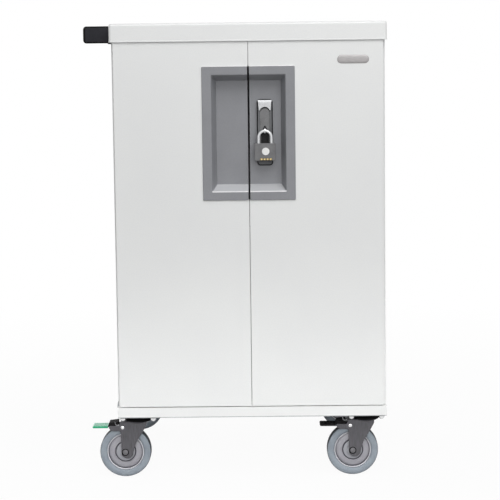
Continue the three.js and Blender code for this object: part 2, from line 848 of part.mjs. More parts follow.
const shackleRadius = shackleWidth / 2 - shackleRodRadius;
const shackleArcZ = eyeZ - shackleRadius;
const padlockTop = eyeZ + shackleRodRadius - shackleRise;
const padlockMiddle = padlockTop - padlockHeight / 2;
const dialZ = padlockTop - padlockHeight + dialRadius - dialProud;
const dialY = padlockY - padlockThickness / 2 + dialRadius - dialProud;

function dialX(index) {
  return latchFromCentre + dialOffset + (index - (dialCount - 1) / 2) * dialPitch;
}

// Shackle: a round rod bent to a U, with one long and one short leg
function padlockShackle() {
  const circle = Array.from({ length: pinSides }, (_, i) => (i / pinSides) * Math.PI * 2);
  const ringAt = (angle, z) => circle.map((turn) => {
    const out = shackleRadius + shackleRodRadius * Math.cos(turn);
    const x = latchFromCentre + out * Math.cos(angle);
    const y = padlockY + shackleRodRadius * Math.sin(turn);
    return new THREE.Vector3(x, y, z + out * Math.sin(angle));
  });
  const rings = [ringAt(0, padlockTop - shackleLongLeg)];
  const bendSteps = 2 * arcSteps;
  for (let step = 0; step <= bendSteps; step += 1) {
    rings.push(ringAt((step / bendSteps) * Math.PI, shackleArcZ));
  }
  rings.push(ringAt(Math.PI, padlockTop - shackleShortLeg));
  return loft(rings);
}

// Padlock body: a chamfered block with two bores for the legs and a slot for each dial
function padlockBody() {
  const ringAt = (y, inset) => roundedRing(
    padlockWidth / 2 - inset,
    padlockHeight / 2 - inset,
    padlockCornerRadius,
  ).map((p) => new THREE.Vector3(p.x + latchFromCentre, y, p.y + padlockMiddle));
  const [front, back] = around(padlockY, padlockThickness);
  const slab = loft([
    ringAt(front, padlockChamfer),
    ringAt(front + padlockChamfer, 0),
    ringAt(back - padlockChamfer, 0),
    ringAt(back, padlockChamfer),
  ]);
  const bores = [[1, shackleLongLeg], [-1, shackleShortLeg]].map(([side, leg]) => bar(
    'z',
    holeRadius(shackleRodRadius, shacklePlay),
    [padlockTop - leg - shacklePlay, padlockTop + seam],
    [latchFromCentre + side * shackleRadius, padlockY],
  ));
  const slots = Array.from({ length: dialCount }, (_, i) => bar(
    'x',
    holeRadius(dialRadius, dialPlay),
    around(dialX(i), dialThickness + 2 * dialPlay),
    [dialY, dialZ],
  ));
  const shaftReach = dialCount * dialPitch;
  const shaft = bar('x', dialShaftRadius, around(latchFromCentre + dialOffset, shaftReach), [dialY, dialZ]);
  return cut(slab, [...bores, ...slots]).add(shaft);
}

// Number dial: a notched brass wheel on the padlock's shaft
function padlockDial(index) {
  const outline = new THREE.Shape();
  const steps = 2 * dialNotches;
  const corners = Array.from({ length: steps }, (_, i) => {
    const radius = i % 2 ? dialRadius - dialNotch : dialRadius;
    const angle = (i / steps) * Math.PI * 2;
    return point(dialY + radius * Math.cos(angle), dialZ + radius * Math.sin(angle));
  });
  outline.setFromPoints(corners);
  const boreX = around(dialX(index), 2 * dialThickness);
  const bore = bar('x', holeRadius(dialShaftRadius, dialPlay), boreX, [dialY, dialZ]);
  return prism('x', outline, around(dialX(index), dialThickness)).subtract(bore);
}

const rearDoorMiddle = (rearDoorBottom + doorTop) / 2;
const rearLockX = -halfWidth + sideFlange + rearLockFromFlange;

// Rear door with its two pivot pins welded on and a bore for the lock
function rearDoor() {
  const leaf = foldedLeaf([-doorOuterX, doorOuterX], [backY, rearDoorInnerY], [rearDoorBottom, doorTop]);
  const bore = bar(
    'y',
    holeRadius(rearLockRadius, pinPlay),
    [backY - sheet - seam, backY + seam],
    [rearLockX, rearDoorMiddle],
  );
  const lowerZ = [rearDoorBottom - doorGap - sheet - pinTip, rearDoorBottom + sheet];
  const upperZ = [doorTop - sheet, doorTop + doorGap + panSheet + pinTip];
  const lower = bar('z', pinRadius, lowerZ, [pinX, rearPinY]);
  const upper = bar('z', pinRadius, upperZ, [pinX, rearPinY]);
  return joined([leaf.subtract(bore), lower, upper]);
}

// Quarter-turn lock of the rear door: flanged barrel with its cam, at rest turned up
function rearLock() {
  const camBack = shellBackY - sheet - rearCamThickness;
  const camY = [camBack - rearCamThickness, camBack];
  const centre = [rearLockX, rearDoorMiddle];
  const barrel = bar('y', rearLockRadius, [camY[0], backY + seam + rearLockFlange], centre);
  const flange = bar('y', rearLockFlangeRadius, [backY + seam, backY + seam + rearLockFlange], centre);
  const cam = block(
    around(rearLockX, rearCamWidth),
    camY,
    [rearDoorMiddle - rearCamWidth / 2, rearDoorMiddle + rearCamReach],
  );
  return joined([barrel, flange, cam]);
}

const plateTop = casterHeight - seam;
const plateBottom = plateTop - plateThickness;
const raceTop = plateBottom - seam;
const forkTop = raceTop - raceHeight;
const forkInner = wheelWidth / 2 + forkSideGap;
const forkOuter = forkInner + forkWall;

// Mounting plate of a caster, bolted under the pan
function casterPlate() {
  const outline = roundedOutline(around(0, plateLength), around(0, plateWidth), plateCornerRadius);
  const plate = prism('z', outline, [plateBottom, plateTop]);
  const holeZ = [plateBottom - seam, plateTop + seam];
  return plate.subtract(bar('z', holeRadius(kingpinRadius, pinPlay), holeZ, [0, 0]));
}

// Fork leg seen from the front: broad under the race, tapering down to the axle; the leg
// of a braked caster has a nose that carries the pedal
function forkLeg(braked) {
  const heel = point(forkHeelReach, forkTop - forkHeelDepth);
  const end = point(forkEndShift - trail, wheelRadius);
  const toHeel = heel.clone().sub(end);
  const endAngle = toHeel.angle() - Math.acos(forkEndRadius / toHeel.length()) + Math.PI * 2;
  const leg = new THREE.Shape();
  leg.moveTo(-crownFront, forkTop);
  if (braked) {
    leg.lineTo(-crownFront - forkNoseSlope, forkTop - forkNoseDrop);
    leg.lineTo(-forkNoseReach, forkTop - forkNoseDrop);
    leg.lineTo(-forkNoseReach, forkTop - forkNoseDepth);
    leg.lineTo(-forkShank, forkTop - forkNoseDepth);
  }
  leg.lineTo(end.x - forkEndRadius, end.y);
  leg.absarc(end.x, end.y, forkEndRadius, Math.PI, endAngle);
  leg.lineTo(heel.x, heel.y);
  leg.lineTo(forkHeelReach, forkTop);
  return leg;
}

// Fork: two legs, the crown across them, the race and the kingpin
function casterFork(braked) {
  const legs = [-1, 1].map((side) => {
    const inner = side * forkInner;
    const outer = side * forkOuter;
    return prism('y', forkLeg(braked), [Math.min(inner, outer), Math.max(inner, outer)]);
  });
  const crown = block(
    [-crownFront, forkHeelReach],
    around(0, 2 * forkOuter),
    [forkTop - crownThickness, forkTop],
  );
  const race = bar('z', raceRadius, [forkTop - crownThickness / 2, raceTop], [0, 0], wheelSides);
  const kingpin = bar('z', kingpinRadius, [raceTop - seam, plateTop - seam], [0, 0]);
  const bore = bar(
    'y',
    holeRadius(axleRadius, axlePlay),
    around(0, 2 * forkOuter + 2 * seam),
    [-trail, wheelRadius],
  );
  return joined([...legs, crown, race, kingpin]).subtract(bore);
}

// Axle bolt with its head in front and its nut behind
function casterAxle() {
  const headFrom = forkOuter + seam;
  const headTo = headFrom + axleHeadHeight;
  const hexagon = 6;
  const centre = [-trail, wheelRadius];
  return joined([
    bar('y', axleRadius, [-headTo, headTo], centre),
    bar('y', axleHeadRadius, [-headTo, -headFrom], centre, hexagon),
    bar('y', axleHeadRadius, [headFrom, headTo], centre, hexagon),
  ]);
}

// A ring or disc turned about the wheel's axle from a closed profile of (radius, side) points
function turned(profile) {
  const closed = [...profile, profile[0].clone()];
  const geometry = new THREE.LatheGeometry(closed, wheelSides).rotateY(Math.PI / wheelSides);
  return solidFrom(geometry.translate(-trail, 0, wheelRadius));
}

// Tyre: the flats of its faceted tread touch the true radius, so that the cart stands level
function casterTyre() {
  const side = wheelWidth / 2;
  const tread = wheelRadius / Math.cos(Math.PI / wheelSides);
  const shoulder = tread - tyreShoulder;
  return turned([
    point(hubRadius, -side + tyreShoulder / 2),
    point(shoulder, -side),
    point(tread, -side + tyreShoulder),
    point(tread, side - tyreShoulder),
    point(shoulder, side),
    point(hubRadius, side - tyreShoulder / 2),
  ]);
}

// Hub: rim, dished web, raised cover and the boss on the axle
function casterHub() {
  const bore = axleRadius + axlePlay;
  const half = [
    point(bore, forkInner - seam),
    point(hubBossRadius, forkInner - seam),
    point(hubBossRadius, hubCoverWidth / 2),
    point(hubCoverRadius, hubCoverWidth / 2),
    point(hubCoverRadius + hubRimWall / 2, hubWebWidth / 2),
    point(hubRadius - seam - hubRimWall, hubWebWidth / 2),
    point(hubRadius - seam - hubRimWall, hubRimWidth / 2),
    point(hubRadius - seam, hubRimWidth / 2),
  ];
  const mirrored = half.map((p) => point(p.x, -p.y)).reverse();
  return turned([...half, ...mirrored]);
}

// Brake pedal: a flat tread on an arm that turns between the fork's noses
function brakePedal() {
  const pinZ = forkTop - pedalPinDrop;
  const treadTop = pinZ + pedalTreadRise;
  const treadBottom = treadTop - pedalThickness;
  const treadEnd = pedalTread - pedalReach;
  const tread = [
    point(pedalTip - pedalReach, treadBottom),
    point(-pedalReach, treadTop - pedalThickness / 2),
    point(pedalTip - pedalReach, treadTop),
    point(treadEnd, treadTop),
    point(treadEnd, treadBottom),
  ];
  const arm = [
    point(treadEnd - pedalThickness, pinZ - pedalArmFoot),
    point(treadEnd - pedalThickness, treadTop - pedalArmSeat),
    point(treadEnd, treadTop - pedalArmSeat),
    point(treadEnd + pedalArmLean, pinZ + pedalArmRise),
    point(-pedalHeel, pinZ + pedalArmRise + pedalArmLean),
    point(-pedalHeel, pinZ - pedalArmFoot),
  ];
  const pin = bar('y', pedalPinRadius, around(0, 2 * (forkInner - seam)), [-pedalTurn, pinZ]);
  return joined([
    prism('y', tread, around(0, pedalWidth)),
    prism('y', arm, around(0, pedalArmWidth)),
    pin,
  ]);
}

// The cart stands in its own frame: the handle shifts the middle of its width
const cart = new THREE.Group();
const cabinet = new THREE.Group();
cabinet.position.set(handleReach / 2, 0, 0);
cart.add(cabinet);

addPiece(cabinet, 'base_pan', basePan(), whitePaint);
addPiece(cabinet, 'left_side_panel', sidePanel(-1), whitePaint);
addPiece(cabinet, 'right_side_panel', sidePanel(1), whitePaint);
addPiece(cabinet, 'top_panel', topPanel(), innerPaint);
addPiece(cabinet, 'lid', lid(), whitePaint);
addPiece(cabinet, 'push_handle', pushHandle(), blackPlastic);

addPiece(cabinet, 'partition', partition(), innerPaint);
addPiece(cabinet, 'shelf', shelf(), innerPaint);
addPiece(cabinet, 'lower_rack', rack(panFloor), greyPlastic);
addPiece(cabinet, 'upper_rack', rack(shelfTop), greyPlastic);

const lowerStripZ = panFloor + stripAboveFloor;
const upperStripZ = shelfTop + stripAboveFloor;
const timerZ = lidBottom - timerBelowTop - timerHeight;
const powerStrip = (bottom) => wallBox(stripLength, stripHeight, stripDepth, bottom);
addPiece(cabinet, 'lower_power_strip', powerStrip(lowerStripZ), blackPlastic);
addPiece(cabinet, 'upper_power_strip', powerStrip(upperStripZ), blackPlastic);
addPiece(cabinet, 'timer_box', wallBox(timerWidth, timerHeight, timerDepth, timerZ), greyPlastic);
addPiece(cabinet, 'power_sill', powerSill(), whitePaint);
addPiece(cabinet, 'power_inlet', powerInlet(), blackPlastic);
addPiece(cabinet, 'rocker_switch', rockerSwitch(), blackPlastic);
addPiece(cabinet, 'rear_door', rearDoor(), whitePaint);
addPiece(cabinet, 'rear_lock', rearLock(), chrome);

for (const [sideName, side] of [['left', -1], ['right', 1]]) {
  addPiece(cabinet, `${sideName}_door`, frontDoor(side), whitePaint);
  addPiece(cabinet, `${sideName}_bezel`, bezelHalf(side), greyPlastic);
  addPiece(cabinet, `${sideName}_door_upper_pin`, doorPin(side, true), zincSteel);
  addPiece(cabinet, `${sideName}_door_lower_pin`, doorPin(side, false), zincSteel);
}

addPiece(cabinet, 'latch_housing', latchHousing(), darkSteel);
addPiece(cabinet, 'latch_lever', latchLever(), darkSteel);
addPiece(cabinet, 'latch_rocker', latchRocker(), zincSteel);
addPiece(cabinet, 'upper_lock_rod', lockRod(1), zincSteel);
addPiece(cabinet, 'lower_lock_rod', lockRod(-1), zincSteel);
addPiece(cabinet, 'padlock_shackle', padlockShackle(), chrome);
addPiece(cabinet, 'padlock_body', padlockBody(), darkSteel);
for (let index = 0; index < dialCount; index += 1) {
  addPiece(cabinet, `padlock_dial_${index + 1}`, padlockDial(index), brass);
}

const casterX = halfWidth - casterSideInset;
const casterY = footprintDepth / 2 - casterEndInset;
const casterPlaces = [
  ['front_left', -casterX, -casterY, greenPlastic],
  ['front_right', casterX, -casterY, blackPlastic],
  ['rear_left', -casterX, casterY, null],
  ['rear_right', casterX, casterY, null],
];
for (const [place, x, y, pedalFinish] of casterPlaces) {
  const caster = new THREE.Group();
  caster.position.set(x, y, 0);
  cabinet.add(caster);
  addPiece(caster, `${place}_caster_plate`, casterPlate(), darkSteel);
  addPiece(caster, `${place}_caster_fork`, casterFork(pedalFinish !== null), darkSteel);
  addPiece(caster, `${place}_caster_axle`, casterAxle(), zincSteel);
  addPiece(caster, `${place}_caster_tyre`, casterTyre(), tyreRubber);
  addPiece(caster, `${place}_caster_hub`, casterHub(), hubPlastic);
  if (pedalFinish) addPiece(caster, `${place}_brake_pedal`, brakePedal(), pedalFinish);
}

export default cart;
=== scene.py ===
# Visual model of a laptop charging cart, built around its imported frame
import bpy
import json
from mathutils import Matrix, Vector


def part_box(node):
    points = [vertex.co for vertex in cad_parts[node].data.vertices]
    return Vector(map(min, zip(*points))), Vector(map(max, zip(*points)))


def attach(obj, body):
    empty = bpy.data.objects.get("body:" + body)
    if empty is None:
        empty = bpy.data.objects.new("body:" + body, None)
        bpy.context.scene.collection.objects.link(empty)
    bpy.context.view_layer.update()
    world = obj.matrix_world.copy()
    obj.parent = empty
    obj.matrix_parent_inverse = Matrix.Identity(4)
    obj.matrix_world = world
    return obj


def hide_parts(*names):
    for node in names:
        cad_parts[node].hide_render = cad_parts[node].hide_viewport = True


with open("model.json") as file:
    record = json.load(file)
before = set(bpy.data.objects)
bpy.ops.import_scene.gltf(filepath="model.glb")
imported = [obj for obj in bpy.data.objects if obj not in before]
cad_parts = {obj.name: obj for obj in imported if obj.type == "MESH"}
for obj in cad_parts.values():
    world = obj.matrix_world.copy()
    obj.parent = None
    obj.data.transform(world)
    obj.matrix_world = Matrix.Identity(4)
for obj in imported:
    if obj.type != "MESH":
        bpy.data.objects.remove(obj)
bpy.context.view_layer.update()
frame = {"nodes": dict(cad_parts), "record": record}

import json
import math
from contextlib import contextmanager

import bmesh
import bpy
from mathutils import Matrix, Vector

# Studio: a seamless white floor under soft boxes, with an even white sky behind it.
# The floor and the sky are white to the eye and to reflections, and the floor
# still takes the cart's pale shadow.
scene = bpy.context.scene
scene.view_settings.view_transform = "Standard"


def linear(code):
    """Linear colour of an sRGB hex value."""
    shares = [int(code[i:i + 2], 16) / 255 for i in (0, 2, 4)]
    return [s / 12.92 if s <= 0.04045 else ((s + 0.055) / 1.055) ** 2.4 for s in shares] + [1.0]


def add(tree, kind, inputs=None, **settings):
    """Adds a node, with its settings and with values or links on its inputs."""
    node = tree.nodes.new(kind)
    for name, value in settings.items():
        setattr(node, name, value)
    for key, value in (inputs or {}).items():
        if isinstance(value, bpy.types.NodeSocket):
            tree.links.new(value, node.inputs[key])
        else:
            node.inputs[key].default_value = value
    return node


def emptied(block):
    """The node tree of a new material or sky, with nothing in it."""
    block.use_nodes = True
    block.node_tree.nodes.clear()
    return block.node_tree


def placed(name, data):
    """A new object in the scene."""
    thing = bpy.data.objects.new(name, data)
    scene.collection.objects.link(thing)
    return thing


def seen_directly(tree):
    """1 for rays that show a surface as it is: camera, mirror and glass rays."""
    path = add(tree, "ShaderNodeLightPath")
    shown = path.outputs["Is Camera Ray"]
    for other in ("Is Glossy Ray", "Is Transmission Ray"):
        pair = {0: shown, 1: path.outputs[other]}
        shown = add(tree, "ShaderNodeMath", pair, operation="MAXIMUM").outputs[0]
    return shown


WHITE = linear("FFFFFF")
SKY_LEVEL = 0.38
FLOOR_HALF = 30.0
FLOOR_OWN_WHITE = 0.95
SHADOW_NEAR = 0.6
SHADOW_FAR = 2.4

scene.world = bpy.data.worlds.new("studio_sky")
sky = emptied(scene.world)
even = add(sky, "ShaderNodeBackground", {"Color": WHITE, "Strength": SKY_LEVEL})
backdrop = add(sky, "ShaderNodeBackground", {"Color": WHITE, "Strength": 1.0})
mixed = add(sky, "ShaderNodeMixShader", {
    0: seen_directly(sky), 1: even.outputs[0], 2: backdrop.outputs[0],
})
add(sky, "ShaderNodeOutputWorld", {"Surface": mixed.outputs[0]})

# Floor paint: white to the eye far from the cart, and open to its shadow near it
floor_paint = bpy.data.materials.new("white_studio_floor")
tree = emptied(floor_paint)
shown = seen_directly(tree)
tint = add(tree, "ShaderNodeMix", {
    0: shown, 6: linear("9C9C9C"), 7: linear("CCCCCC"),
}, data_type="RGBA")
lit = add(tree, "ShaderNodeBsdfDiffuse", {"Color": tint.outputs[2]})
own = add(tree, "ShaderNodeEmission", {"Color": WHITE, "Strength": 1.0})
place = add(tree, "ShaderNodeTexCoord").outputs["Object"]
away = add(tree, "ShaderNodeVectorMath", {0: place}, operation="LENGTH")
white = add(tree, "ShaderNodeMapRange", {
    "Value": away.outputs["Value"], "From Min": SHADOW_NEAR, "From Max": SHADOW_FAR,
    "To Min": FLOOR_OWN_WHITE,
})
share = add(tree, "ShaderNodeMath", {0: shown, 1: white.outputs[0]}, operation="MULTIPLY")
mixed = add(tree, "ShaderNodeMixShader", {
    0: share.outputs[0], 1: lit.outputs[0], 2: own.outputs[0],
})
add(tree, "ShaderNodeOutputMaterial", {"Surface": mixed.outputs[0]})
floor_mesh = bpy.data.meshes.new("studio_floor")
corners = [(x * FLOOR_HALF, y * FLOOR_HALF, 0) for x, y in ((-1, -1), (1, -1), (1, 1), (-1, 1))]
floor_mesh.from_pydata(corners, [], [(0, 1, 2, 3)])
floor_mesh.materials.append(floor_paint)
placed("studio_floor", floor_mesh)

# name, place, aim, width, height, spread in degrees, watts
SOFT_BOXES = (
    ("front_box", (1.6, -5.7, 2.6), (0.0, -0.3, 0.5), 4.0, 2.6, 180, 85),
    ("low_box", (0.0, -1.9, 0.8), (0.0, -0.3, 0.1), 2.6, 0.4, 50, 0.6),
    ("skirt_box", (0.0, -1.3, 0.55), (0.0, -0.3, 0.05), 2.6, 0.4, 45, 1.2),
    ("key_box", (0.6, -2.3, 3.6), (0.0, -0.3, 0.6), 3.2, 2.2, 180, 81),
    ("back_box", (-3.2, 3.4, 2.2), (0.0, 0.3, 0.6), 3.0, 2.0, 180, 100),
)
for name, place, aim, width, height, spread, watts in SOFT_BOXES:
    lamp = bpy.data.lights.new(name, "AREA")
    lamp.shape = "RECTANGLE"
    lamp.size = width
    lamp.size_y = height
    lamp.spread = math.radians(spread)
    lamp.energy = watts
    box = placed(name, lamp)
    box.location = place
    box.rotation_euler = (Vector(aim) - Vector(place)).to_track_quat("-Z", "Y").to_euler()
    box.visible_camera = False

# Where the photograph was taken from, worked out from the cart's corners in it
CAMERA_PLACE = (0.0721, -4.2, 1.0845)
CAMERA_YAW = math.radians(0.548)
CAMERA_PITCH = math.radians(-6.2)
CAMERA_ROLL = math.radians(-0.685)
view = bpy.data.cameras.new("photo_view")
view.sensor_width = 36.0
view.lens = 118.36
view.shift_y = -0.08
turn = Matrix.Rotation(CAMERA_YAW, 3, "Z")
tilt = Matrix.Rotation(math.pi / 2 + CAMERA_PITCH, 3, "X")
roll = Matrix.Rotation(CAMERA_ROLL, 3, "Z")
scene.camera = placed("photo_view", view)
scene.camera.matrix_world = Matrix.Translation(CAMERA_PLACE) @ (turn @ tilt @ roll).to_4x4()

# Cabinet shell: base pan, two side panels and the tray under the lid, folded from
# 2 mm steel sheet, spot welded at the corners and powder coated white.
MM = 0.001
MIDDLE = Vector((sum(corner.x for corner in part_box("base_pan")) / 2, 0, 0))
BODY_OF = {
    node: body for body, nodes in frame["record"]["behaviour"]["bodies"].items() for node in nodes
}
SHEET_EDGE = 0.7
PAN_BEND = 2.0
PAN_SHADE_BAND = 1.9
FACES_DOWN = -0.9


def span(node):
    """Lowest and highest corner of a CAD piece, in millimetres from the cabinet's middle."""
    return [(corner - MIDDLE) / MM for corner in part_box(node)]


def shaded(tree, tone, grain, smooth, rough, strength, relief, constants):
    """Ends a finish: its colour, with roughness and dents from its grain."""
    sheen = add(tree, "ShaderNodeMapRange", {"Value": grain, "To Min": smooth, "To Max": rough})
    dents = add(tree, "ShaderNodeBump", {
        "Strength": strength, "Distance": relief * MM, "Height": grain,
    })
    shader = add(tree, "ShaderNodeBsdfPrincipled", {
        "Base Color": tone, "Roughness": sheen.outputs[0], "Normal": dents.outputs[0], **constants,
    })
    add(tree, "ShaderNodeOutputMaterial", {"Surface": shader.outputs[0]})


def coated(name, dark, light, patch, grain, relief, smooth, rough, constants, painted_top_tone=None):
    """Finish with drifting colour and a fine grain; patch, grain and relief are in millimetres.
    The last colour, if given, is painted light or shade, mixed in where the surface faces up."""
    material = bpy.data.materials.new(name)
    tree = emptied(material)
    place = add(tree, "ShaderNodeTexCoord").outputs["Object"]
    drift, pores = (add(tree, "ShaderNodeTexNoise", {
        "Vector": place, "Scale": 1 / (size * MM), "Detail": detail,
    }).outputs[0] for size, detail in ((patch, 4.0), (grain, 2.0)))
    both = add(tree, "ShaderNodeMath", {0: drift, 1: pores}, operation="ADD")
    spread = add(tree, "ShaderNodeMapRange", {
        "Value": both.outputs[0], "From Min": 0.7, "From Max": 1.3,
    })
    tone = add(tree, "ShaderNodeMix", {
        0: spread.outputs[0], 6: linear(dark), 7: linear(light),
    }, data_type="RGBA").outputs[2]
    # Painted light or shade on surfaces that face up
    if painted_top_tone:
        normal = add(tree, "ShaderNodeNewGeometry").outputs["Normal"]
        upward = add(tree, "ShaderNodeSeparateXYZ", {0: normal}).outputs["Z"]
        up_share = add(tree, "ShaderNodeMapRange", {
            "Value": upward, "From Min": 0.4, "From Max": 0.9,
        })
        tone = add(tree, "ShaderNodeMix", {
            0: up_share.outputs[0], 6: tone, 7: linear(painted_top_tone),
        }, data_type="RGBA").outputs[2]
    shaded(tree, tone, pores, smooth, rough, 0.6, relief, constants)
    return material


@contextmanager
def skin_of(mesh):
    """A mesh's skin, open to change and written back."""
    skin = bmesh.new()
    skin.from_mesh(mesh)
    yield skin
    skin.to_mesh(mesh)
    skin.free()


def merged(node):
    """A CAD piece as one skin: corners joined and flat areas whole."""
    mesh = bpy.data.meshes.new(node + "_skin")
    source = frame["nodes"][node].data
    corners = {}
    with skin_of(mesh) as skin:
        for face in source.polygons:
            loop = []
            for index in face.vertices:
                key = tuple(round(v / MM, 3) for v in source.vertices[index].co)
                if key not in corners:
                    corners[key] = skin.verts.new(source.vertices[index].co)
                loop.append(corners[key])
            if len(set(loop)) == len(loop) and not skin.faces.get(loop):
                skin.faces.new(loop)
        flat = math.radians(0.5)
        bmesh.ops.dissolve_limit(skin, angle_limit=flat, verts=skin.verts, edges=skin.edges)
    return mesh


def worked(mesh, kind, inputs=None, **settings):
    """The plain mesh that one modifier makes of this one."""
    holder = placed("holder", mesh)
    modifier = holder.modifiers.new("step", kind)
    for name, value in settings.items():
        setattr(modifier, name, value)
    for identifier, value in (inputs or {}).items():
        modifier[identifier] = value
    ready = holder.evaluated_get(bpy.context.evaluated_depsgraph_get())
    result = bpy.data.meshes.new_from_object(ready)
    bpy.data.objects.remove(holder)
    return result


def eased(mesh, width, steps=2, angle=30):
    """Rounds every edge that is sharper than the angle, in millimetres and degrees."""
    return worked(
        mesh, "BEVEL", width=width * MM, segments=steps, limit_method="ANGLE",
        angle_limit=math.radians(angle), miter_outer="MITER_ARC",
    )


def parted(mesh, height):
    """The mesh with its faces split along one level."""
    with skin_of(mesh) as skin:
        everything = skin.verts[:] + skin.edges[:] + skin.faces[:]
        level = (0, 0, height * MM)
        bmesh.ops.bisect_plane(skin, geom=everything, plane_co=level, plane_no=(0, 0, 1))
    return mesh


def piece(name, mesh, finishes, node=None, body=None, pick=None):
    """Puts a finished mesh in the scene, on its body and in place of its CAD piece. Of several
    finishes, pick gives a face's number, from its middle in millimetres and its normal."""
    mesh.name = name
    mesh.materials.clear()
    for finish in finishes if isinstance(finishes, list) else [finishes]:
        mesh.materials.append(finish)
    for face in mesh.polygons if pick else ():
        face.material_index = int(pick((face.center - MIDDLE) / MM, face.normal))
    shown = placed(name, mesh)
    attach(shown, body or BODY_OF[node])
    if node:
        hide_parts(node)


def sheet(node, finish):
    """A folded sheet piece with its cut edges broken."""
    piece(node + "_sheet", eased(merged(node), SHEET_EDGE), finish, node)


# Powder coat: satin white with a faint orange peel about 3 mm across
PAINT = {"IOR": 1.5}
white_powder_coat = coated("white_powder_coat", "E3E4E4", "E8E9E8", 220, 3.0, 0.12, 0.36, 0.46, PAINT)
# Painted shade: the same coat, greyed in a narrow band along the pan's lower edge, so that a fine grey
# line runs round
hem_painted_shade = coated("hem_painted_shade", "A6A8A9", "B2B4B4", 60, 3.0, 0.12, 0.4, 0.5, PAINT)
for node in ("left_side_panel", "right_side_panel", "top_panel"):
    sheet(node, white_powder_coat)
# The pan's lowest band, apart from its underside, takes the painted shade
shade_band_top = span("base_pan")[0].z + PAN_SHADE_BAND
pan = parted(eased(merged("base_pan"), PAN_BEND), shade_band_top)
piece(
    "base_pan_sheet", pan, [white_powder_coat, hem_painted_shade], "base_pan",
    pick=lambda spot, normal: spot.z < shade_band_top and normal.z > FACES_DOWN,
)

# Lid: a deep steel cover drawn from one sheet, with a round upper edge, soft corners
# and a narrow hem along its lower edge; it drops over the tray and is coated white.
LID_HEM = 3.0
LID_HEM_STEP = 0.5
LID_EDGE_RADIUS = 6.0
LID_CORNER = 7.0
LID_WALL = 2.0
ARC_STEPS = 8


def arc(steps, start, end, radius=1):
    """Points at even steps round an arc from one angle to another, in degrees."""
    angles = [math.radians(start + (end - start) * step / steps) for step in range(steps + 1)]
    return [(radius * math.cos(angle), radius * math.sin(angle)) for angle in angles]


def shifted(points, u, v):
    return [(u + a, v + b) for a, b in points]


def outline(half_u, half_v, radius, steps=ARC_STEPS):
    """Corners of a rectangle with round corners, anticlockwise about its middle."""
    points = []
    for quarter, (u, v) in enumerate(((1, 1), (-1, 1), (-1, -1), (1, -1))):
        corner = arc(steps, 90 * quarter, 90 * quarter + 90, radius)
        points += shifted(corner, u * (half_u - radius), v * (half_v - radius))
    return points


def outward(mesh):
    """Joins doubled corners and turns all faces outwards."""
    with skin_of(mesh) as skin:
        bmesh.ops.remove_doubles(skin, verts=skin.verts, dist=0.001 * MM)
        bmesh.ops.recalc_face_normals(skin, faces=skin.faces)
    return mesh


def skinned(rings, closed=False):
    """Mesh through rings of equally many points in millimetres from the cabinet's middle."""
    count = len(rings[0])
    total = count * len(rings)
    faces = []
    for first in range(0, total if closed else total - count, count):
        for i in range(count):
            a, b = first + i, first + (i + 1) % count
            faces.append((a, b, (b + count) % total, (a + count) % total))
    if not closed:
        faces += [tuple(range(count)), tuple(range(total - count, total))]
    mesh = bpy.data.meshes.new("skin")
    mesh.from_pydata([MIDDLE + Vector(spot) * MM for ring in rings for spot in ring], [], faces)
    return outward(mesh)


def smoothed(mesh, angle=35):
    """Shades curved areas smoothly and keeps flat areas flat."""
    with skin_of(mesh) as skin:
        for face in skin.faces:
            face.smooth = True
        for edge in skin.edges:
            edge.smooth = edge.calc_face_angle(0.0) < math.radians(angle)
    return worked(mesh, "WEIGHTED_NORMAL", keep_sharp=True)


low, high = span("lid")
lid_half_x = (high.x - low.x) / 2
lid_half_y = (high.y - low.y) / 2


def lid_ring(inset, z, radius=LID_CORNER):
    return [(x, y, z) for x, y in outline(lid_half_x - inset, lid_half_y - inset, radius)]


inner_corner = LID_CORNER - LID_WALL
rings = [
    lid_ring(LID_WALL, high.z - LID_WALL, inner_corner),
    lid_ring(LID_WALL, low.z + LID_HEM_STEP, inner_corner),
    lid_ring(LID_WALL - LID_HEM_STEP, low.z, inner_corner),
    lid_ring(LID_HEM_STEP, low.z),
    lid_ring(0, low.z + LID_HEM_STEP),
    lid_ring(0, low.z + LID_HEM),
    lid_ring(LID_HEM_STEP, low.z + LID_HEM + LID_HEM_STEP),
]
for cos, sin in arc(ARC_STEPS, 0, 90):
    inset = LID_HEM_STEP + LID_EDGE_RADIUS * (1 - cos)
    rings.append(lid_ring(inset, high.z - LID_EDGE_RADIUS * (1 - sin), LID_CORNER - inset))
# Coat of the lid: the same satin white, greyed with painted shade where it faces up
top_shaded_powder_coat = coated(
    "white_powder_coat_painted_top_shade", "E3E4E4", "E8E9E8", 220, 3.0, 0.12, 0.36, 0.46, PAINT, "D6D7D7",
)
piece("lid_cover", smoothed(skinned(rings)), top_shaded_powder_coat, "lid")

# Push handle: one black nylon moulding, a grip bar on two arms that are screwed to the
# lid's left side; all its outer edges are well rounded, and a lip on each arm grips the lid.
HANDLE_BAR = 34.0
HANDLE_ARM = 34.0
HANDLE_HIGH = 41.0
HANDLE_OFF_LID = 0.3
HANDLE_ROUND = 8.0
HANDLE_ROUND_INNER = 0.62
HANDLE_ROUND_ROOT = 0.08
HANDLE_LIP = 3.7
HANDLE_LIP_REACH = 8.0
HANDLE_LIP_INSET = 1.0
HANDLE_LIP_EDGE = 0.8
FLAT_FACE = 0.985


def pushed(points, axis, start, end):
    """An outline of (x, z), (y, z) or (x, y) points pushed along y, x or z."""
    place = {
        "y": lambda u, v, w: (u, w, v),
        "x": lambda u, v, w: (w, u, v),
        "z": lambda u, v, w: (u, v, w),
    }[axis]
    return skinned([[place(u, v, w) for u, v in points] for w in (start, end)])


def rectangle(u0, u1, v0, v1):
    return [(u0, v0), (u1, v0), (u1, v1), (u0, v1)]


def centred(u, v, half_u, half_v):
    return rectangle(u - half_u, u + half_u, v - half_v, v + half_v)


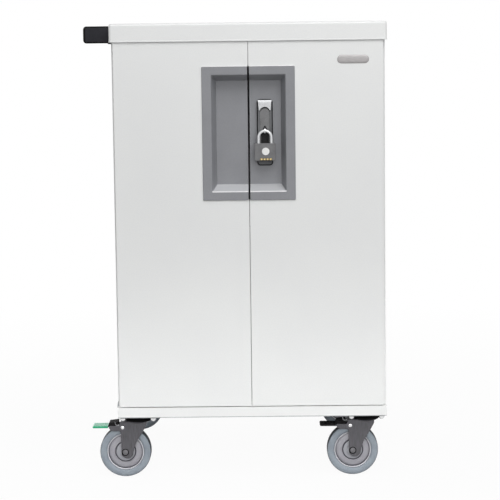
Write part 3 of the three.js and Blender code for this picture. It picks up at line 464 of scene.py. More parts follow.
def rounded(mesh, width, weight, steps=6):
    """Rounds each edge by the width times its weight, which a function of its ends gives."""
    weights = mesh.attributes.new("bevel_weight_edge", "FLOAT", "EDGE")
    for edge, value in zip(mesh.edges, weights.data):
        value.value = weight(*((mesh.vertices[i].co - MIDDLE) / MM for i in edge.vertices))
    return worked(mesh, "BEVEL", width=width * MM, segments=steps, limit_method="WEIGHT")


def combined(mesh, other, operation="UNION"):
    """Joins a second mesh to the first, or cuts it out of it."""
    tool = placed("tool", other)
    result = worked(mesh, "BOOLEAN", object=tool, operation=operation, solver="EXACT")
    bpy.data.objects.remove(tool)
    return result


low, high = span("push_handle")
root_x = -lid_half_x - HANDLE_OFF_LID
arm_y = high.y - HANDLE_ARM
bar_x = low.x + HANDLE_BAR
grip = pushed([
    (low.x, -high.y), (root_x, -high.y), (root_x, -arm_y), (bar_x, -arm_y),
    (bar_x, arm_y), (root_x, arm_y), (root_x, high.y), (low.x, high.y),
], "z", high.z - HANDLE_HIGH, high.z)


def grip_weight(p, q):
    if abs(p.x - q.x) < 1:
        if max(p.x, q.x) > root_x - 1:
            return HANDLE_ROUND_ROOT
        if min(p.x, q.x) < low.x + 1:
            return 1.0
    return HANDLE_ROUND_INNER


grip = rounded(grip, HANDLE_ROUND, grip_weight)
for end in (-1, 1):
    near, far = sorted((end * arm_y, end * high.y))
    lip = pushed(rectangle(
        root_x - HANDLE_LIP_REACH, high.x, near + HANDLE_LIP_INSET, far - HANDLE_LIP_INSET,
    ), "z", low.z, low.z + HANDLE_LIP)
    grip = combined(grip, eased(lip, HANDLE_LIP_EDGE))
MATT = {"Specular IOR Level": 0.1}
DEEP_MATT = {"Specular IOR Level": 0.08}
# Nylon: near black, with the fine spark-eroded grain of the mould drawn at about 1.2 mm
black_nylon = coated("black_moulded_nylon", "26262A", "333338", 40, 1.2, 0.10, 0.5, 0.66, MATT)
# Rounded edges: the same nylon without the grain, darkened to a deeper black as painted shade
nylon_edge_painted_shade = coated("black_nylon_painted_edge_shade", "0B0B0C", "121213", 40, 1.2, 0.02, 0.5, 0.62, DEEP_MATT)
piece(
    "push_handle_grip", smoothed(grip), [black_nylon, nylon_edge_painted_shade], "push_handle",
    pick=lambda spot, normal: max(abs(v) for v in normal) < FLAT_FACE,
)

# Device bay: the partition and the shelf are folded sheet, screwed to the shell; on each
# level lies a divider rack of grey ABS, a base plate with a row of upright fins.
FIN_CORNER = 22.0
FIN_EDGE = 0.7
FIN_WIDE = 3.0
RACK_PLATE = 3.0
SLOT_COUNT = 12


def repeats(name, sockets):
    """Geometry nodes: one shape along a line or on given seats, made real, in one finish."""
    tree = bpy.data.node_groups.new(name, "GeometryNodeTree")
    for label, kind in {**sockets, "Shape": "Object", "Finish": "Material"}.items():
        tree.interface.new_socket(label, in_out="INPUT", socket_type="NodeSocket" + kind)
    tree.interface.new_socket("Set", in_out="OUTPUT", socket_type="NodeSocketGeometry")
    given = add(tree, "NodeGroupInput").outputs
    points = given["Seats"] if "Seats" in sockets else add(tree, "GeometryNodeMeshLine", {
        "Count": given["Count"], "Start Location": given["First"], "Offset": given["Step"],
    }).outputs[0]
    shape = add(tree, "GeometryNodeObjectInfo", {"Object": given["Shape"]})
    spread = add(tree, "GeometryNodeInstanceOnPoints", {
        "Points": points, "Instance": shape.outputs["Geometry"],
    })
    real = add(tree, "GeometryNodeRealizeInstances", {"Geometry": spread.outputs[0]})
    done = add(tree, "GeometryNodeSetMaterial", {
        "Geometry": real.outputs[0], "Material": given["Finish"],
    })
    add(tree, "NodeGroupOutput", {"Set": done.outputs[0]})
    return tree


ROW_TREE = repeats("row_of_shapes", {"Count": "Int", "First": "Vector", "Step": "Vector"})


def baked(tree, seats, shape, values):
    """Plain mesh of a node tree's result; shape is the mesh that it repeats."""
    model = placed("model", shape)
    values = {**values, "Shape": model}
    sockets = [socket for socket in tree.interface.items_tree if socket.name in values]
    inputs = {socket.identifier: values[socket.name] for socket in sockets}
    result = worked(seats, "NODES", inputs, node_group=tree)
    bpy.data.objects.remove(model)
    return result


def in_row(shape, count, step, finish, first=(0, 0, 0)):
    """A row of one shape; first and step are in millimetres from where the shape was drawn."""
    first, step = (tuple(v * MM for v in way) for way in (first, step))
    values = {"Count": count, "First": first, "Step": step, "Finish": finish}
    return baked(ROW_TREE, bpy.data.meshes.new("line"), shape, values)


def together(*meshes):
    """One mesh of several separate closed skins, with their shading kept."""
    whole = bpy.data.meshes.new("whole")
    with skin_of(whole) as skin:
        for mesh in meshes:
            skin.from_mesh(mesh)
    return whole


def block(low, high):
    return pushed(rectangle(low.x, high.x, low.y, high.y), "z", low.z, high.z)


# Inner sheet: the same powder coat, a shade greyer
grey_powder_coat = coated("pale_grey_powder_coat", "D2D3D4", "DADBDB", 220, 3.0, 0.12, 0.38, 0.48, PAINT)
# ABS: mid grey with a leather-like mould grain about 1.1 mm across, made paler by painted light where it
# faces up
ABS = {"IOR": 1.54}
grey_abs = coated("grey_textured_abs", "818286", "8B8C90", 60, 1.1, 0.10, 0.42, 0.58, ABS, "BBBCBF")
for node in ("partition", "shelf"):
    sheet(node, grey_powder_coat)
for node in ("lower_rack", "upper_rack"):
    low, high = span(node)
    foot = low.z + RACK_PLATE
    half_y, half_z = (high.y - low.y) / 2, (high.z - foot) / 2
    fin = [(u, v) for u, v in outline(half_y, half_z, FIN_CORNER) if v >= FIN_CORNER - half_z]
    fin = shifted(fin, low.y + half_y, foot + half_z) + [(low.y, foot), (high.y, foot)]
    fin = eased(pushed(fin, "x", low.x, low.x + FIN_WIDE), FIN_EDGE)
    fin_step = (high.x - low.x - FIN_WIDE) / SLOT_COUNT
    fins = in_row(fin, SLOT_COUNT + 1, (fin_step, 0, 0), grey_abs)
    plate = eased(block(low, Vector((high.x, high.y, foot))), FIN_EDGE)
    piece(node + "_fins", together(plate, fins), grey_abs, node)

# Charging bay: on the partition's back sit two black socket strips, each a round-edged
# ABS housing with a row of outlets, and a grey timer box with its vent ribs and knob.
BOX_EDGE = 5.0
SUNK = 0.5
OUTLET_COUNT = 10
OUTLET_STEP = 50.0
OUTLET_HALF = 17.0
OUTLET_CORNER = 4.0
OUTLET_DEPTHS = (-0.4, 1.4)
OUTLET_HOLE_DEPTHS = (-0.2, 3.0)
OUTLET_SLOT_SIDES = (-6.3, 6.3)
OUTLET_SLOT_Z = 3.5
OUTLET_SLOT_HALF = (1.1, 4.5)
OUTLET_EARTH_Z = -8.0
OUTLET_EARTH_RADIUS = 2.6
VENT_COUNT = 9
VENT_STEP = 7.0
VENT_X = (-70.0, -10.0)
VENT_LOW = 20.0
VENT_HIGH = 3.0
VENT_PROUD = 1.6
KNOB_X = 45.0
KNOB_STEPS = 48
KNOB_PROFILE = ((-0.5, 17), (1.5, 17), (2.5, 16), (2.5, 13), (10, 12), (11.5, 10.5), (11.5, 0.5))


def wall_box(node):
    """A housing with round edges all the way round, and its corners."""
    low, high = span(node)
    return eased(block(low, high), BOX_EDGE, steps=5), low, high


def cut(mesh, points, axis, start, end):
    """The mesh with an outline pushed out of it."""
    return combined(mesh, pushed(points, axis, start, end), "DIFFERENCE")


def circle(u, v, radius, steps=ARC_STEPS):
    return shifted(outline(radius, radius, radius, steps), u, v)


def hoop(radius, count):
    """Points on a circle, each one once."""
    return arc(count, 0, 360, radius)[:-1]


def upright(points, x, y, z):
    """An outline of (x, z) points stood up at a place."""
    return [(u, y, v) for u, v in shifted(points, x, z)]


def outlet(x, y, z):
    """A square outlet with two blade slots and a round earth hole."""
    square = shifted(outline(OUTLET_HALF, OUTLET_HALF, OUTLET_CORNER), x, z)
    face = eased(pushed(square, "y", *(y + depth for depth in OUTLET_DEPTHS)), 0.5)
    holes = [centred(x + side, z + OUTLET_SLOT_Z, *OUTLET_SLOT_HALF) for side in OUTLET_SLOT_SIDES]
    for hole in holes + [circle(x, z + OUTLET_EARTH_Z, OUTLET_EARTH_RADIUS)]:
        face = cut(face, hole, "y", *(y + depth for depth in OUTLET_HOLE_DEPTHS))
    return face


# ABS of the strips: satin black
black_abs = coated("black_satin_abs", "1E1E20", "29292B", 50, 1.0, 0.08, 0.34, 0.46, ABS)
for node in ("lower_power_strip", "upper_power_strip"):
    housing, low, high = wall_box(node)
    first = outlet(-(OUTLET_COUNT - 1) / 2 * OUTLET_STEP, high.y, (low.z + high.z) / 2)
    outlets = in_row(first, OUTLET_COUNT, (OUTLET_STEP, 0, 0), black_abs)
    strip = smoothed(together(housing, outlets))
    piece(node + "_housing", strip, black_abs, node)

housing, low, high = wall_box("timer_box")
vent = rectangle(*VENT_X, low.z + VENT_LOW, low.z + VENT_LOW + VENT_HIGH)
vent = eased(pushed(vent, "y", high.y - SUNK, high.y + VENT_PROUD), 0.7)
vents = in_row(vent, VENT_COUNT, (0, 0, VENT_STEP), grey_abs)
knob = skinned([
    upright(hoop(radius, KNOB_STEPS), KNOB_X, high.y + depth, (low.z + high.z) / 2)
    for depth, radius in KNOB_PROFILE
])
timer = smoothed(together(housing, vents, knob))
piece("timer_housing", timer, grey_abs, "timer_box")

# Rear sill: a folded white channel that carries the mains inlet, a black flanged socket
# with three tinned blades, and the rocker switch beside it.
BLADE_COUNT = 3
BLADE_STEP = 7.0
BLADE_HALF = (0.6, 2.5)
BLADE_DEPTHS = (283.0, 298.0)
sheet("power_sill", white_powder_coat)
for node, name, edge, steps in (
    ("power_inlet", "power_inlet_body", 0.8, 3), ("rocker_switch", "rocker_switch_cap", 1.2, 4),
):
    piece(name, eased(merged(node), edge, steps), black_abs, node)


def middle(node):
    """Middle of a CAD piece's box, in millimetres from the cabinet's middle."""
    return sum(span(node), Vector()) / 2


def plated(name, dark, light, streak, metallic, smooth, rough, stretch=(1, 1, 12)):
    """Metal with fine drawn streaks, whose spacing is in millimetres."""
    material = bpy.data.materials.new(name)
    tree = emptied(material)
    place = add(tree, "ShaderNodeTexCoord").outputs["Object"]
    scale = tuple(1 / s for s in stretch)
    drawn = add(tree, "ShaderNodeMapping", {"Vector": place, "Scale": scale})
    lines = add(tree, "ShaderNodeTexNoise", {
        "Vector": drawn.outputs[0], "Scale": 1 / (streak * MM), "Detail": 3.0,
    }).outputs[0]
    spread = add(tree, "ShaderNodeMapRange", {"Value": lines, "From Min": 0.3, "From Max": 0.7})
    tone = add(tree, "ShaderNodeMix", {
        0: spread.outputs[0], 6: linear(dark), 7: linear(light),
    }, data_type="RGBA").outputs[2]
    shaded(tree, tone, lines, smooth, rough, 0.3, 0.04, {"Metallic": metallic})
    return material


# Zinc plate: pale blue-grey metal, satin, with faint drawing lines
zinc_plate = plated("zinc_plated_steel", "A9ABAE", "C6C8CA", 1.5, 1.0, 0.26, 0.4)
inlet_x, _, inlet_z = middle("power_inlet")
blade = centred(inlet_x - BLADE_STEP, inlet_z, *BLADE_HALF)
blade = eased(pushed(blade, "y", *BLADE_DEPTHS), 0.3)
blades = in_row(blade, BLADE_COUNT, (BLADE_STEP, 0, 0), zinc_plate)
piece("inlet_blades", blades, zinc_plate, body="cabinet")

# Rear door: a folded white leaf on two pins, with four banks of pressed louvres, and a
# chromed quarter-turn lock whose cam reaches behind the side panel's flange.
LOUVRE_COUNT = 12
LOUVRE_STEP = 16.0
LOUVRE_HALF = 75.0
LOUVRE_RISE = 7.0
LOUVRE_PROUD = 2.8
LOUVRE_SUNK = 0.4
LOUVRE_BANKS = ((-120, 380), (120, 380), (-120, 760), (120, 760))
LOUVRE_MOUTH = (-64.0, 64.0, -3.6, 1.4)
LOUVRE_STEPS = 12
FACES_MOUTH = -0.5
LOCK_ABOVE_FOOT = 12.0
KEY_WAY_HALF = (0.8, 5.0)
back = span("rear_door")[1].y


def banks(louvre):
    """One louvre's form repeated over all the banks."""
    return together(*(in_row(
        louvre, LOUVRE_COUNT, (0, 0, LOUVRE_STEP), white_powder_coat, (x, 0, z),
    ) for x, z in LOUVRE_BANKS))


mouths = banks(pushed(rectangle(*LOUVRE_MOUTH), "y", back - 4, back + 0.3))
leaf = combined(eased(merged("rear_door"), SHEET_EDGE), mouths, "DIFFERENCE")
piece("rear_door_leaf", leaf, white_powder_coat, "rear_door")
louvre = skinned([[(-LOUVRE_HALF * cos, back + depth, z) for depth, z in (
    (-LOUVRE_SUNK, -LOUVRE_RISE * swell - 0.2),
    (LOUVRE_PROUD * swell, -LOUVRE_RISE * swell * 0.7),
    (LOUVRE_PROUD * swell * 0.8, 0.2),
    (-LOUVRE_SUNK, LOUVRE_RISE * swell * 0.4 + 0.3),
)] for cos, swell in arc(LOUVRE_STEPS, 0, 180)])
# Mouth of a louvre: painted shade, dark on the hood's faces that look down or inwards
louvre_painted_shade = coated("shaded_louvre_mouth", "3A3B3C", "4A4B4C", 40, 2.0, 0.05, 0.6, 0.7, MATT)
piece(
    "rear_door_louvres", smoothed(banks(louvre)), [white_powder_coat, louvre_painted_shade],
    body="rear_door", pick=lambda spot, normal: min(normal.y, normal.z) < FACES_MOUTH,
)
# Chrome: a bright mirror skin, clouded a little by handling
chrome = plated("bright_chrome", "B0B2B4", "C8C9CA", 4.0, 1.0, 0.16, 0.28)
low, high = span("rear_lock")
key_way = centred((low.x + high.x) / 2, low.z + LOCK_ABOVE_FOOT, *KEY_WAY_HALF)
lock = cut(eased(merged("rear_lock"), 0.7, 3), key_way, "y", high.y - 2, high.y + 1)
piece("rear_lock_barrel", lock, chrome, "rear_lock")

# Front doors: two folded white leaves over the whole front, each on a zinc-plated pin
# at its outer corners; a bare silver name plate is stuck to the right one.
PLATE_MIDDLE = (248.5, 1016.8)
PLATE_HALF = (37.6, 9.9)
PLATE_PROFILE = ((0, -0.2), (0, 0.4), (0.6, 1.1), (1.6, 1.7), (3.0, 2.1), (5.0, 2.3), (7.5, 2.4))
EDGE_BAND = 3.0
NOTCH_HALF = 3.4
NOTCH_SHORT = 0.6
CLOSER = {"meeting": 0.95, "foot": 1.0, "head": 2.85}
for side, inward in (("left", 1), ("right", -1)):
    node = side + "_door"
    leaf = merged(node)
    low, high = span(node)
    for corner in leaf.vertices:
        spot = (corner.co - MIDDLE) / MM
        if abs(spot.x) < 2 * EDGE_BAND:
            corner.co.x += inward * CLOSER["meeting"] * MM
        if spot.z < low.z + EDGE_BAND:
            corner.co.z -= CLOSER["foot"] * MM
        if spot.z > high.z - EDGE_BAND:
            corner.co.z += CLOSER["head"] * MM
    flange_low, flange_high = (corner.z for corner in span(side + "_bezel"))
    leaf = cut(eased(leaf, SHEET_EDGE), rectangle(
        -NOTCH_HALF, NOTCH_HALF, flange_low + NOTCH_SHORT, flange_high - NOTCH_SHORT,
    ), "y", low.y - 1, high.y + 1)
    piece(node + "_leaf", leaf, white_powder_coat, node)
    for end in ("upper", "lower"):
        pin = f"{node}_{end}_pin"
        steel = smoothed(eased(merged(pin), 0.6), 50)
        piece(pin + "_steel", steel, zinc_plate, pin)
front = low.y
rings = []
for inset, rise in PLATE_PROFILE:
    half_u, half_v = (half - inset for half in PLATE_HALF)
    plate = shifted(outline(half_u, half_v, half_v), *PLATE_MIDDLE)
    rings.append([(x, front - rise, z) for x, z in plate])
# Anodised aluminium: brushed along its length, bare silver
silver_plate = plated("brushed_anodised_aluminium", "9A9797", "B0ADAD", 0.9, 0.25, 0.36, 0.5, (14, 1, 1))
piece("name_plate", smoothed(skinned(rings)), silver_plate, body="right_door")

# Recess: two halves of a deep grey ABS tub, one in each door, with a flange on the door's
# face, drafted walls and a soft radius where the walls meet the floor.
RECESS_HALF = (88.0, 138.4)
RECESS_DRAFT = (10.5, 14.0)
RECESS_CORNER = 2.0
RECESS_WALL = 3.0
RECESS_GAP = 4.5
RECESS_BACK_EDGE = 2.0
FLANGE_EDGE = 1.4
FLANGE_CORNER = 2.4
FLANGE_OFF_DOOR = 0.3
LIP_EDGE = 2.2
LIP_FACES_UP = 0.2
FLOOR_FILLET = 1.2
FILLET_STEPS = 6
EDGE_STEPS = 5
BEYOND = 250.0
LEVER_WIDE = 23.0
WINDOW_SPARE = 1.0
WINDOW_REACH = (-18.5, 13.3)
STUD_RADIUS = 4.0
low, high = span("left_bezel")
flange_half_x = -low.x
flange_half_z = (high.z - low.z) / 2
recess_z = (high.z + low.z) / 2
flange_y, tub_back = low.y, high.y
tub_floor = tub_back - RECESS_WALL


def recess_ring(y, grow):
    """Outline of the drafted tub at one depth, grown outwards."""
    share = (y - flange_y) / (tub_floor - flange_y)
    half_u, half_v = (h + grow - d * share for h, d in zip(RECESS_HALF, RECESS_DRAFT))
    return upright(outline(half_u, half_v, RECESS_CORNER), 0, y, recess_z)


def flange_ring(y, inset):
    half_u, half_v = flange_half_x - inset, flange_half_z - inset
    return upright(outline(half_u, half_v, FLANGE_CORNER - inset), 0, y, recess_z)


rings = [recess_ring(tub_floor, -FLOOR_FILLET - 0.4)]
for cos, sin in arc(FILLET_STEPS, 0, 90)[1:]:
    rings.append(recess_ring(tub_floor - FLOOR_FILLET * (1 - cos), -FLOOR_FILLET * (1 - sin)))
for cos, sin in arc(EDGE_STEPS, 0, 90):
    rings.append(recess_ring(flange_y + LIP_EDGE * (1 - sin), LIP_EDGE * (1 - cos)))
for cos, sin in arc(EDGE_STEPS, 0, 90):
    rings.append(flange_ring(flange_y + FLANGE_EDGE * (1 - cos), FLANGE_EDGE * (1 - sin)))
flange_back = front - FLANGE_OFF_DOOR
rings += [
    flange_ring(flange_back, 0),
    recess_ring(flange_back, RECESS_WALL),
    recess_ring(tub_back - RECESS_BACK_EDGE, RECESS_WALL),
    recess_ring(tub_back, RECESS_WALL - RECESS_BACK_EDGE),
]
tub = skinned(rings)
lever_low, lever_high = span("latch_lever")
lever_x = sum(corner.x for corner in span("latch_housing")) / 2
lever_pin_z = lever_high.z - LEVER_WIDE / 2
window_half = LEVER_WIDE / 2 + WINDOW_SPARE
window = rectangle(
    lever_x - window_half, lever_x + window_half, *(lever_pin_z + reach for reach in WINDOW_REACH),
)
# Edges that face up: the same ABS, smoother, with a painted highlight that makes it pale
abs_painted_highlight = coated("grey_abs_painted_highlight", "D4D4D6", "E0E0E1", 30, 1.1, 0.02, 0.3, 0.4, ABS)
for side, node in ((-1, "left_bezel"), (1, "right_bezel")):
    other_side = sorted((-side * BEYOND, side * RECESS_GAP / 2))
    other = rectangle(*other_side, recess_z - BEYOND, recess_z + BEYOND)
    shell = cut(tub, other, "y", flange_y - 9, tub_back + 9)
    if side > 0:
        shell = cut(shell, window, "y", tub_floor - 8, tub_back + 1)
        stud = circle(lever_x, recess_z, STUD_RADIUS)
        shell = combined(shell, pushed(stud, "y", tub_back - 1, span(node)[1].y))
    # The up-facing edges of the lip and flange take the painted highlight
    piece(
        node + "_tub", smoothed(shell), [grey_abs, abs_painted_highlight], node,
        pick=lambda spot, normal: spot.y < flange_y + LIP_EDGE + 0.02 and normal.z > LIP_FACES_UP,
    )

# Latch: a die-cast housing on a black gasket, screwed to the recess's floor, with side walls
# and a satin-chromed head, and the round-ended lever that lifts out between them on a pin.
HOUSING_HALF = (19.0, 79.5)
HOUSING_CORNER = 8.0
HOUSING_BASE = 3.0
GASKET_RIM = 2.6
GASKET_EDGE = 0.8
FACE_RISE = 0.9
FACE_EDGE = 0.5
WALL_SIDES = (11.75, 16.4)
WALL_RISE = 10.0
WALL_PAST_PIN = 14.0
HEAD_BELOW_TOP = 2.0
HEAD_HALF_TOP = 16.4
HEAD_HALF_LOW = 14.2
HEAD_ROUND = 7.0
HEAD_ROUND_REST = 0.07
HEAD_ARC = 12.3
HEAD_ARC_DROP = 2.1
HEAD_ARC_SHOULDER = 4.0
LEVER_EDGE = 0.7
LEVER_SHORT = 4.2
LEVER_OFF_BASE = 1.0
LEVER_THICK = 9.0
TAIL_HALF = 4.0
PIN_RADIUS = 3.0
PIN_SHORT = 0.5
SLOT_DEPTH = 6.5
SLOT_OUTLINE = (
    (-9.4, 812), (9.4, 812), (9.4, 840), (3.0, 857), (0.8, 860.5), (-0.8, 860.5), (-3.0, 857),
    (-9.4, 840),
)
SLOT_HALF = 9.6
SLOT_ENDS = (811, 861)
low, high = span("latch_housing")
housing_z = (low.z + high.z) / 2
base_back, head_front = high.y, low.y
base_front = base_back - HOUSING_BASE
head_top = high.z - HEAD_BELOW_TOP


def housing_plate(*levels):
    """A round-cornered plate with a window, through (depth, inset) pairs."""
    plate = skinned([upright(outline(
        HOUSING_HALF[0] - inset, HOUSING_HALF[1] - inset, HOUSING_CORNER - inset,
    ), lever_x, y, housing_z) for y, inset in levels])
    return cut(plate, window, "y", base_front - 20, base_back + 1)


gasket = housing_plate((base_back, 0), (base_front + GASKET_EDGE, 0), (base_front, GASKET_EDGE))
DULL = {"Specular IOR Level": 0.2}
# Rubber: flat black, so that the housing has a dark outline
black_gasket = coated("black_gasket_rubber", "161617", "1E1E20", 30, 1.0, 0.06, 0.6, 0.75, DULL)
piece("latch_housing_gasket", smoothed(gasket), black_gasket, "latch_housing")
face_y = base_front - FACE_RISE
housing = housing_plate(
    (base_front + 0.6, GASKET_RIM), (face_y + FACE_EDGE, GASKET_RIM), (face_y, GASKET_RIM + FACE_EDGE),
)
for side in (-1, 1):
    near, far = sorted(lever_x + side * reach for reach in WALL_SIDES)
    wall = rectangle(near, far, base_front - WALL_RISE, base_front)
    wall = pushed(wall, "z", low.z + HOUSING_CORNER, lever_pin_z + WALL_PAST_PIN)
    housing = combined(housing, eased(wall, 0.5, 3))
CASTING = {"Metallic": 0.2}
# Die-cast zinc: dark grey paint with a fine sandy grain about 1 mm across
dark_casting = coated("dark_coated_zinc_casting", "505154", "6A6B6D", 30, 1.0, 0.2, 0.42, 0.6, CASTING)
piece("latch_housing_walls", smoothed(housing), dark_casting, body="right_door")

arc_z = lever_pin_z - HEAD_ARC_DROP
shoulder_z = arc_z + HEAD_ARC_SHOULDER
head = [(-HEAD_HALF_TOP, head_top), (-HEAD_HALF_LOW, shoulder_z)]
head += shifted(arc(16, 160, 20, HEAD_ARC), 0, arc_z)
head += [(HEAD_HALF_LOW, shoulder_z), (HEAD_HALF_TOP, head_top)]
head = pushed(shifted(head, lever_x, 0), "y", head_front, base_front + 0.5)


def head_weight(p, q):
    if max(p.y, q.y) > head_front + 0.1:
        return 0.0
    return 1.0 if min(p.z, q.z) > head_top - 0.1 else HEAD_ROUND_REST


head = rounded(head, HEAD_ROUND, head_weight, 8)
# Satin chrome: a soft silver sheen that pales towards the light
satin_chrome = plated("satin_chrome", "ACADAF", "C8C9CB", 0.8, 0.6, 0.3, 0.44)
piece("latch_housing_head", smoothed(head), satin_chrome, body="right_door")

lever_rear = base_front - LEVER_OFF_BASE
lever_face = lever_rear - LEVER_THICK
bar_top = lever_high.z - LEVER_SHORT
bar_middle = (lever_low.z + bar_top) / 2
bar = outline(LEVER_WIDE / 2, (bar_top - lever_low.z) / 2, LEVER_WIDE / 2 - 0.2, 12)
bar = pushed(shifted(bar, lever_x, bar_middle), "y", lever_face, lever_rear)
tail = centred(lever_x, lever_pin_z, TAIL_HALF, TAIL_HALF)
tail = eased(pushed(tail, "y", lever_rear - 3, lever_high.y), 0.6)
bar = combined(eased(bar, LEVER_EDGE, 3, 50), tail)
pin_reach = WALL_SIDES[1] - PIN_SHORT
pin = circle((lever_face + lever_rear) / 2, lever_pin_z, PIN_RADIUS)
bar = combined(bar, pushed(pin, "x", lever_x - pin_reach, lever_x + pin_reach))
slot_floor = lever_face + SLOT_DEPTH
bar = cut(bar, shifted(SLOT_OUTLINE, lever_x, 0), "y", lever_face - 1, slot_floor)
# Lever: the same casting with a lighter, rubbed face
lever_casting = coated("grey_coated_zinc_casting", "5F5F60", "7C7C7D", 24, 1.1, 0.24, 0.4, 0.58, CASTING)
# Slot: the same casting, darkened with painted shade
slot_painted_shade = coated("shaded_zinc_casting", "242425", "323234", 24, 1.1, 0.2, 0.6, 0.7, DULL)


def in_slot(spot, normal):
    across = abs(spot.x - lever_x) < SLOT_HALF and SLOT_ENDS[0] < spot.z < SLOT_ENDS[1]
    return across and lever_face + 0.5 < spot.y < slot_floor + 0.1


piece(
    "latch_lever_bar", smoothed(bar), [lever_casting, slot_painted_shade], "latch_lever",
    pick=in_slot,
)

EYE_DROP = 46.3
EYE_HALF_ROOT = 9.0
EYE_TIP = 7.5
EYE_HOLE = 4.0
EYE_HOLE_OUT = 11.0
EYE_HALF_WIDE = 1.75
eye_z = lever_pin_z - EYE_DROP
eye_y = lever_low.y + EYE_TIP
eye = [(slot_floor + 0.4, eye_z - EYE_HALF_ROOT), (slot_floor + 0.4, eye_z + EYE_HALF_ROOT)]
eye += shifted(arc(16, 90, 270, EYE_TIP), eye_y, eye_z)
eye = eased(pushed(eye, "x", lever_x - EYE_HALF_WIDE, lever_x + EYE_HALF_WIDE), 0.7, 3)
eye = cut(eye, circle(lever_face - EYE_HOLE_OUT, eye_z, EYE_HOLE), "x", lever_x - 9, lever_x + 9)
piece("latch_lever_eye", smoothed(eye), chrome, body="latch_lever")

# Lock gear behind the recess: a forked rocker on the recess's stud and two flat rods,
# all stamped from zinc-plated steel strip.
for node in ("latch_rocker", "upper_lock_rod", "lower_lock_rod"):
    steel = smoothed(eased(merged(node), 0.5), 40)
    piece(node + "_steel", steel, zinc_plate, node)

# Padlock: a chromed steel shackle in a dark die-cast body with a plain white disc on its
# face, and four notched brass dials let into the lower front edge.
FRAME_ROD = 3.3
SHACKLE_ROD = 3.5
SHACKLE_BORE = 3.8
SHACKLE_STEPS = 24
ROD_SIDES = 20
LEG_SUNK = 8.0
BORE_SPARE = 0.4
BODY_EDGE = 1.2
BODY_CORNER = 2.0
DISC_PLACE = (1.3, 1.9)
DISC_PROFILE = ((8.9, -0.2), (8.9, 0.3), (8.5, 0.6), (7.3, 0.6), (7.0, 0.35), (6.7, 0.6), (0.5, 0.75))
DIAL_SCOOP = 6.0
DIAL_SCOOP_SPARE = 3.6
DIAL_RADIUS = 7.5
DIAL_SLOT = 7.65
DIAL_SLOT_HALF = 2.8
DIAL_SHAFT = 2.4
DIAL_SHAFT_SPARE = 3.2
DIAL_BORE = 2.95
DIAL_NOTCH = 0.9
DIAL_NOTCHES = 10
DIAL_STEPS = 80
DIAL_PROFILE = ((-2.5, 0.5), (-2.0, 0.0), (2.0, 0.0), (2.5, 0.5))
low, high = span("padlock_shackle")
shackle_y = (low.y + high.y) / 2
shackle_bend = (high.x - low.x) / 2 - FRAME_ROD
bend_z = high.z - shackle_bend - FRAME_ROD
body_low, body_high = span("padlock_body")
short_leg = body_high.z - LEG_SUNK


def rod_ring(cos, sin, z):
    """Section of the shackle's rod where the bend has turned to an angle."""
    return [(
        lever_x + (shackle_bend + u) * cos, shackle_y + v, z + (shackle_bend + u) * sin,
    ) for u, v in hoop(SHACKLE_ROD, ROD_SIDES)]


rings = [rod_ring(1, 0, low.z)]
rings += [rod_ring(cos, sin, bend_z) for cos, sin in arc(SHACKLE_STEPS, 0, 180)]
rings.append(rod_ring(-1, 0, short_leg))
# Shackle steel: bright satin plating
shackle_steel = plated("satin_plated_shackle_steel", "C2C3C5", "DADBDC", 0.9, 0.6, 0.26, 0.38)
piece("padlock_shackle_rod", smoothed(skinned(rings)), shackle_steel, "padlock_shackle")

body_middle = (body_low.z + body_high.z) / 2
case = outline((body_high.x - body_low.x) / 2, (body_high.z - body_low.z) / 2, BODY_CORNER)
case = pushed(shifted(case, lever_x, body_middle), "y", body_low.y, body_high.y)
case = eased(case, BODY_EDGE, 4, 60)
for side, leg in ((1, low.z), (-1, short_leg)):
    bore = circle(lever_x + side * shackle_bend, shackle_y, SHACKLE_BORE)
    case = cut(case, bore, "z", leg - BORE_SPARE, body_high.z + 1)
dials = [middle(f"padlock_dial_{i}") for i in range(1, 5)]
dial_y, dial_z = dials[0].y, dials[0].z
case = cut(case, [
    (body_low.y - 1, body_low.z - 1), (body_low.y + DIAL_SCOOP, body_low.z - 1),
    (body_low.y + DIAL_SCOOP, body_low.z), (body_low.y, body_low.z + DIAL_SCOOP),
    (body_low.y - 1, body_low.z + DIAL_SCOOP),
], "x", dials[0].x - DIAL_SCOOP_SPARE, dials[-1].x + DIAL_SCOOP_SPARE)
for dial in dials:
    slot = circle(dial_y, dial_z, DIAL_SLOT, 10)
    case = cut(case, slot, "x", dial.x - DIAL_SLOT_HALF, dial.x + DIAL_SLOT_HALF)
shaft = circle(dial_y, dial_z, DIAL_SHAFT)
case = combined(case, pushed(
    shaft, "x", dials[0].x - DIAL_SHAFT_SPARE, dials[-1].x + DIAL_SHAFT_SPARE,
))
# Body casting: graphite grey, sandy grain about 0.9 mm across
graphite_casting = coated("graphite_zinc_casting", "5A5A5C", "757576", 18, 0.9, 0.2, 0.4, 0.56, CASTING)
piece("padlock_case", smoothed(case), graphite_casting, "padlock_body")

disc = skinned([upright(
    circle(*DISC_PLACE, radius), lever_x, body_low.y - rise, body_middle,
) for radius, rise in DISC_PROFILE])
# Enamel: plain glossy white
white_enamel = coated("white_enamel", "E6E6E5", "F0F0EF", 8, 0.8, 0.03, 0.16, 0.26, {"IOR": 1.52})
piece("padlock_disc", smoothed(disc), white_enamel, body="padlock_body")

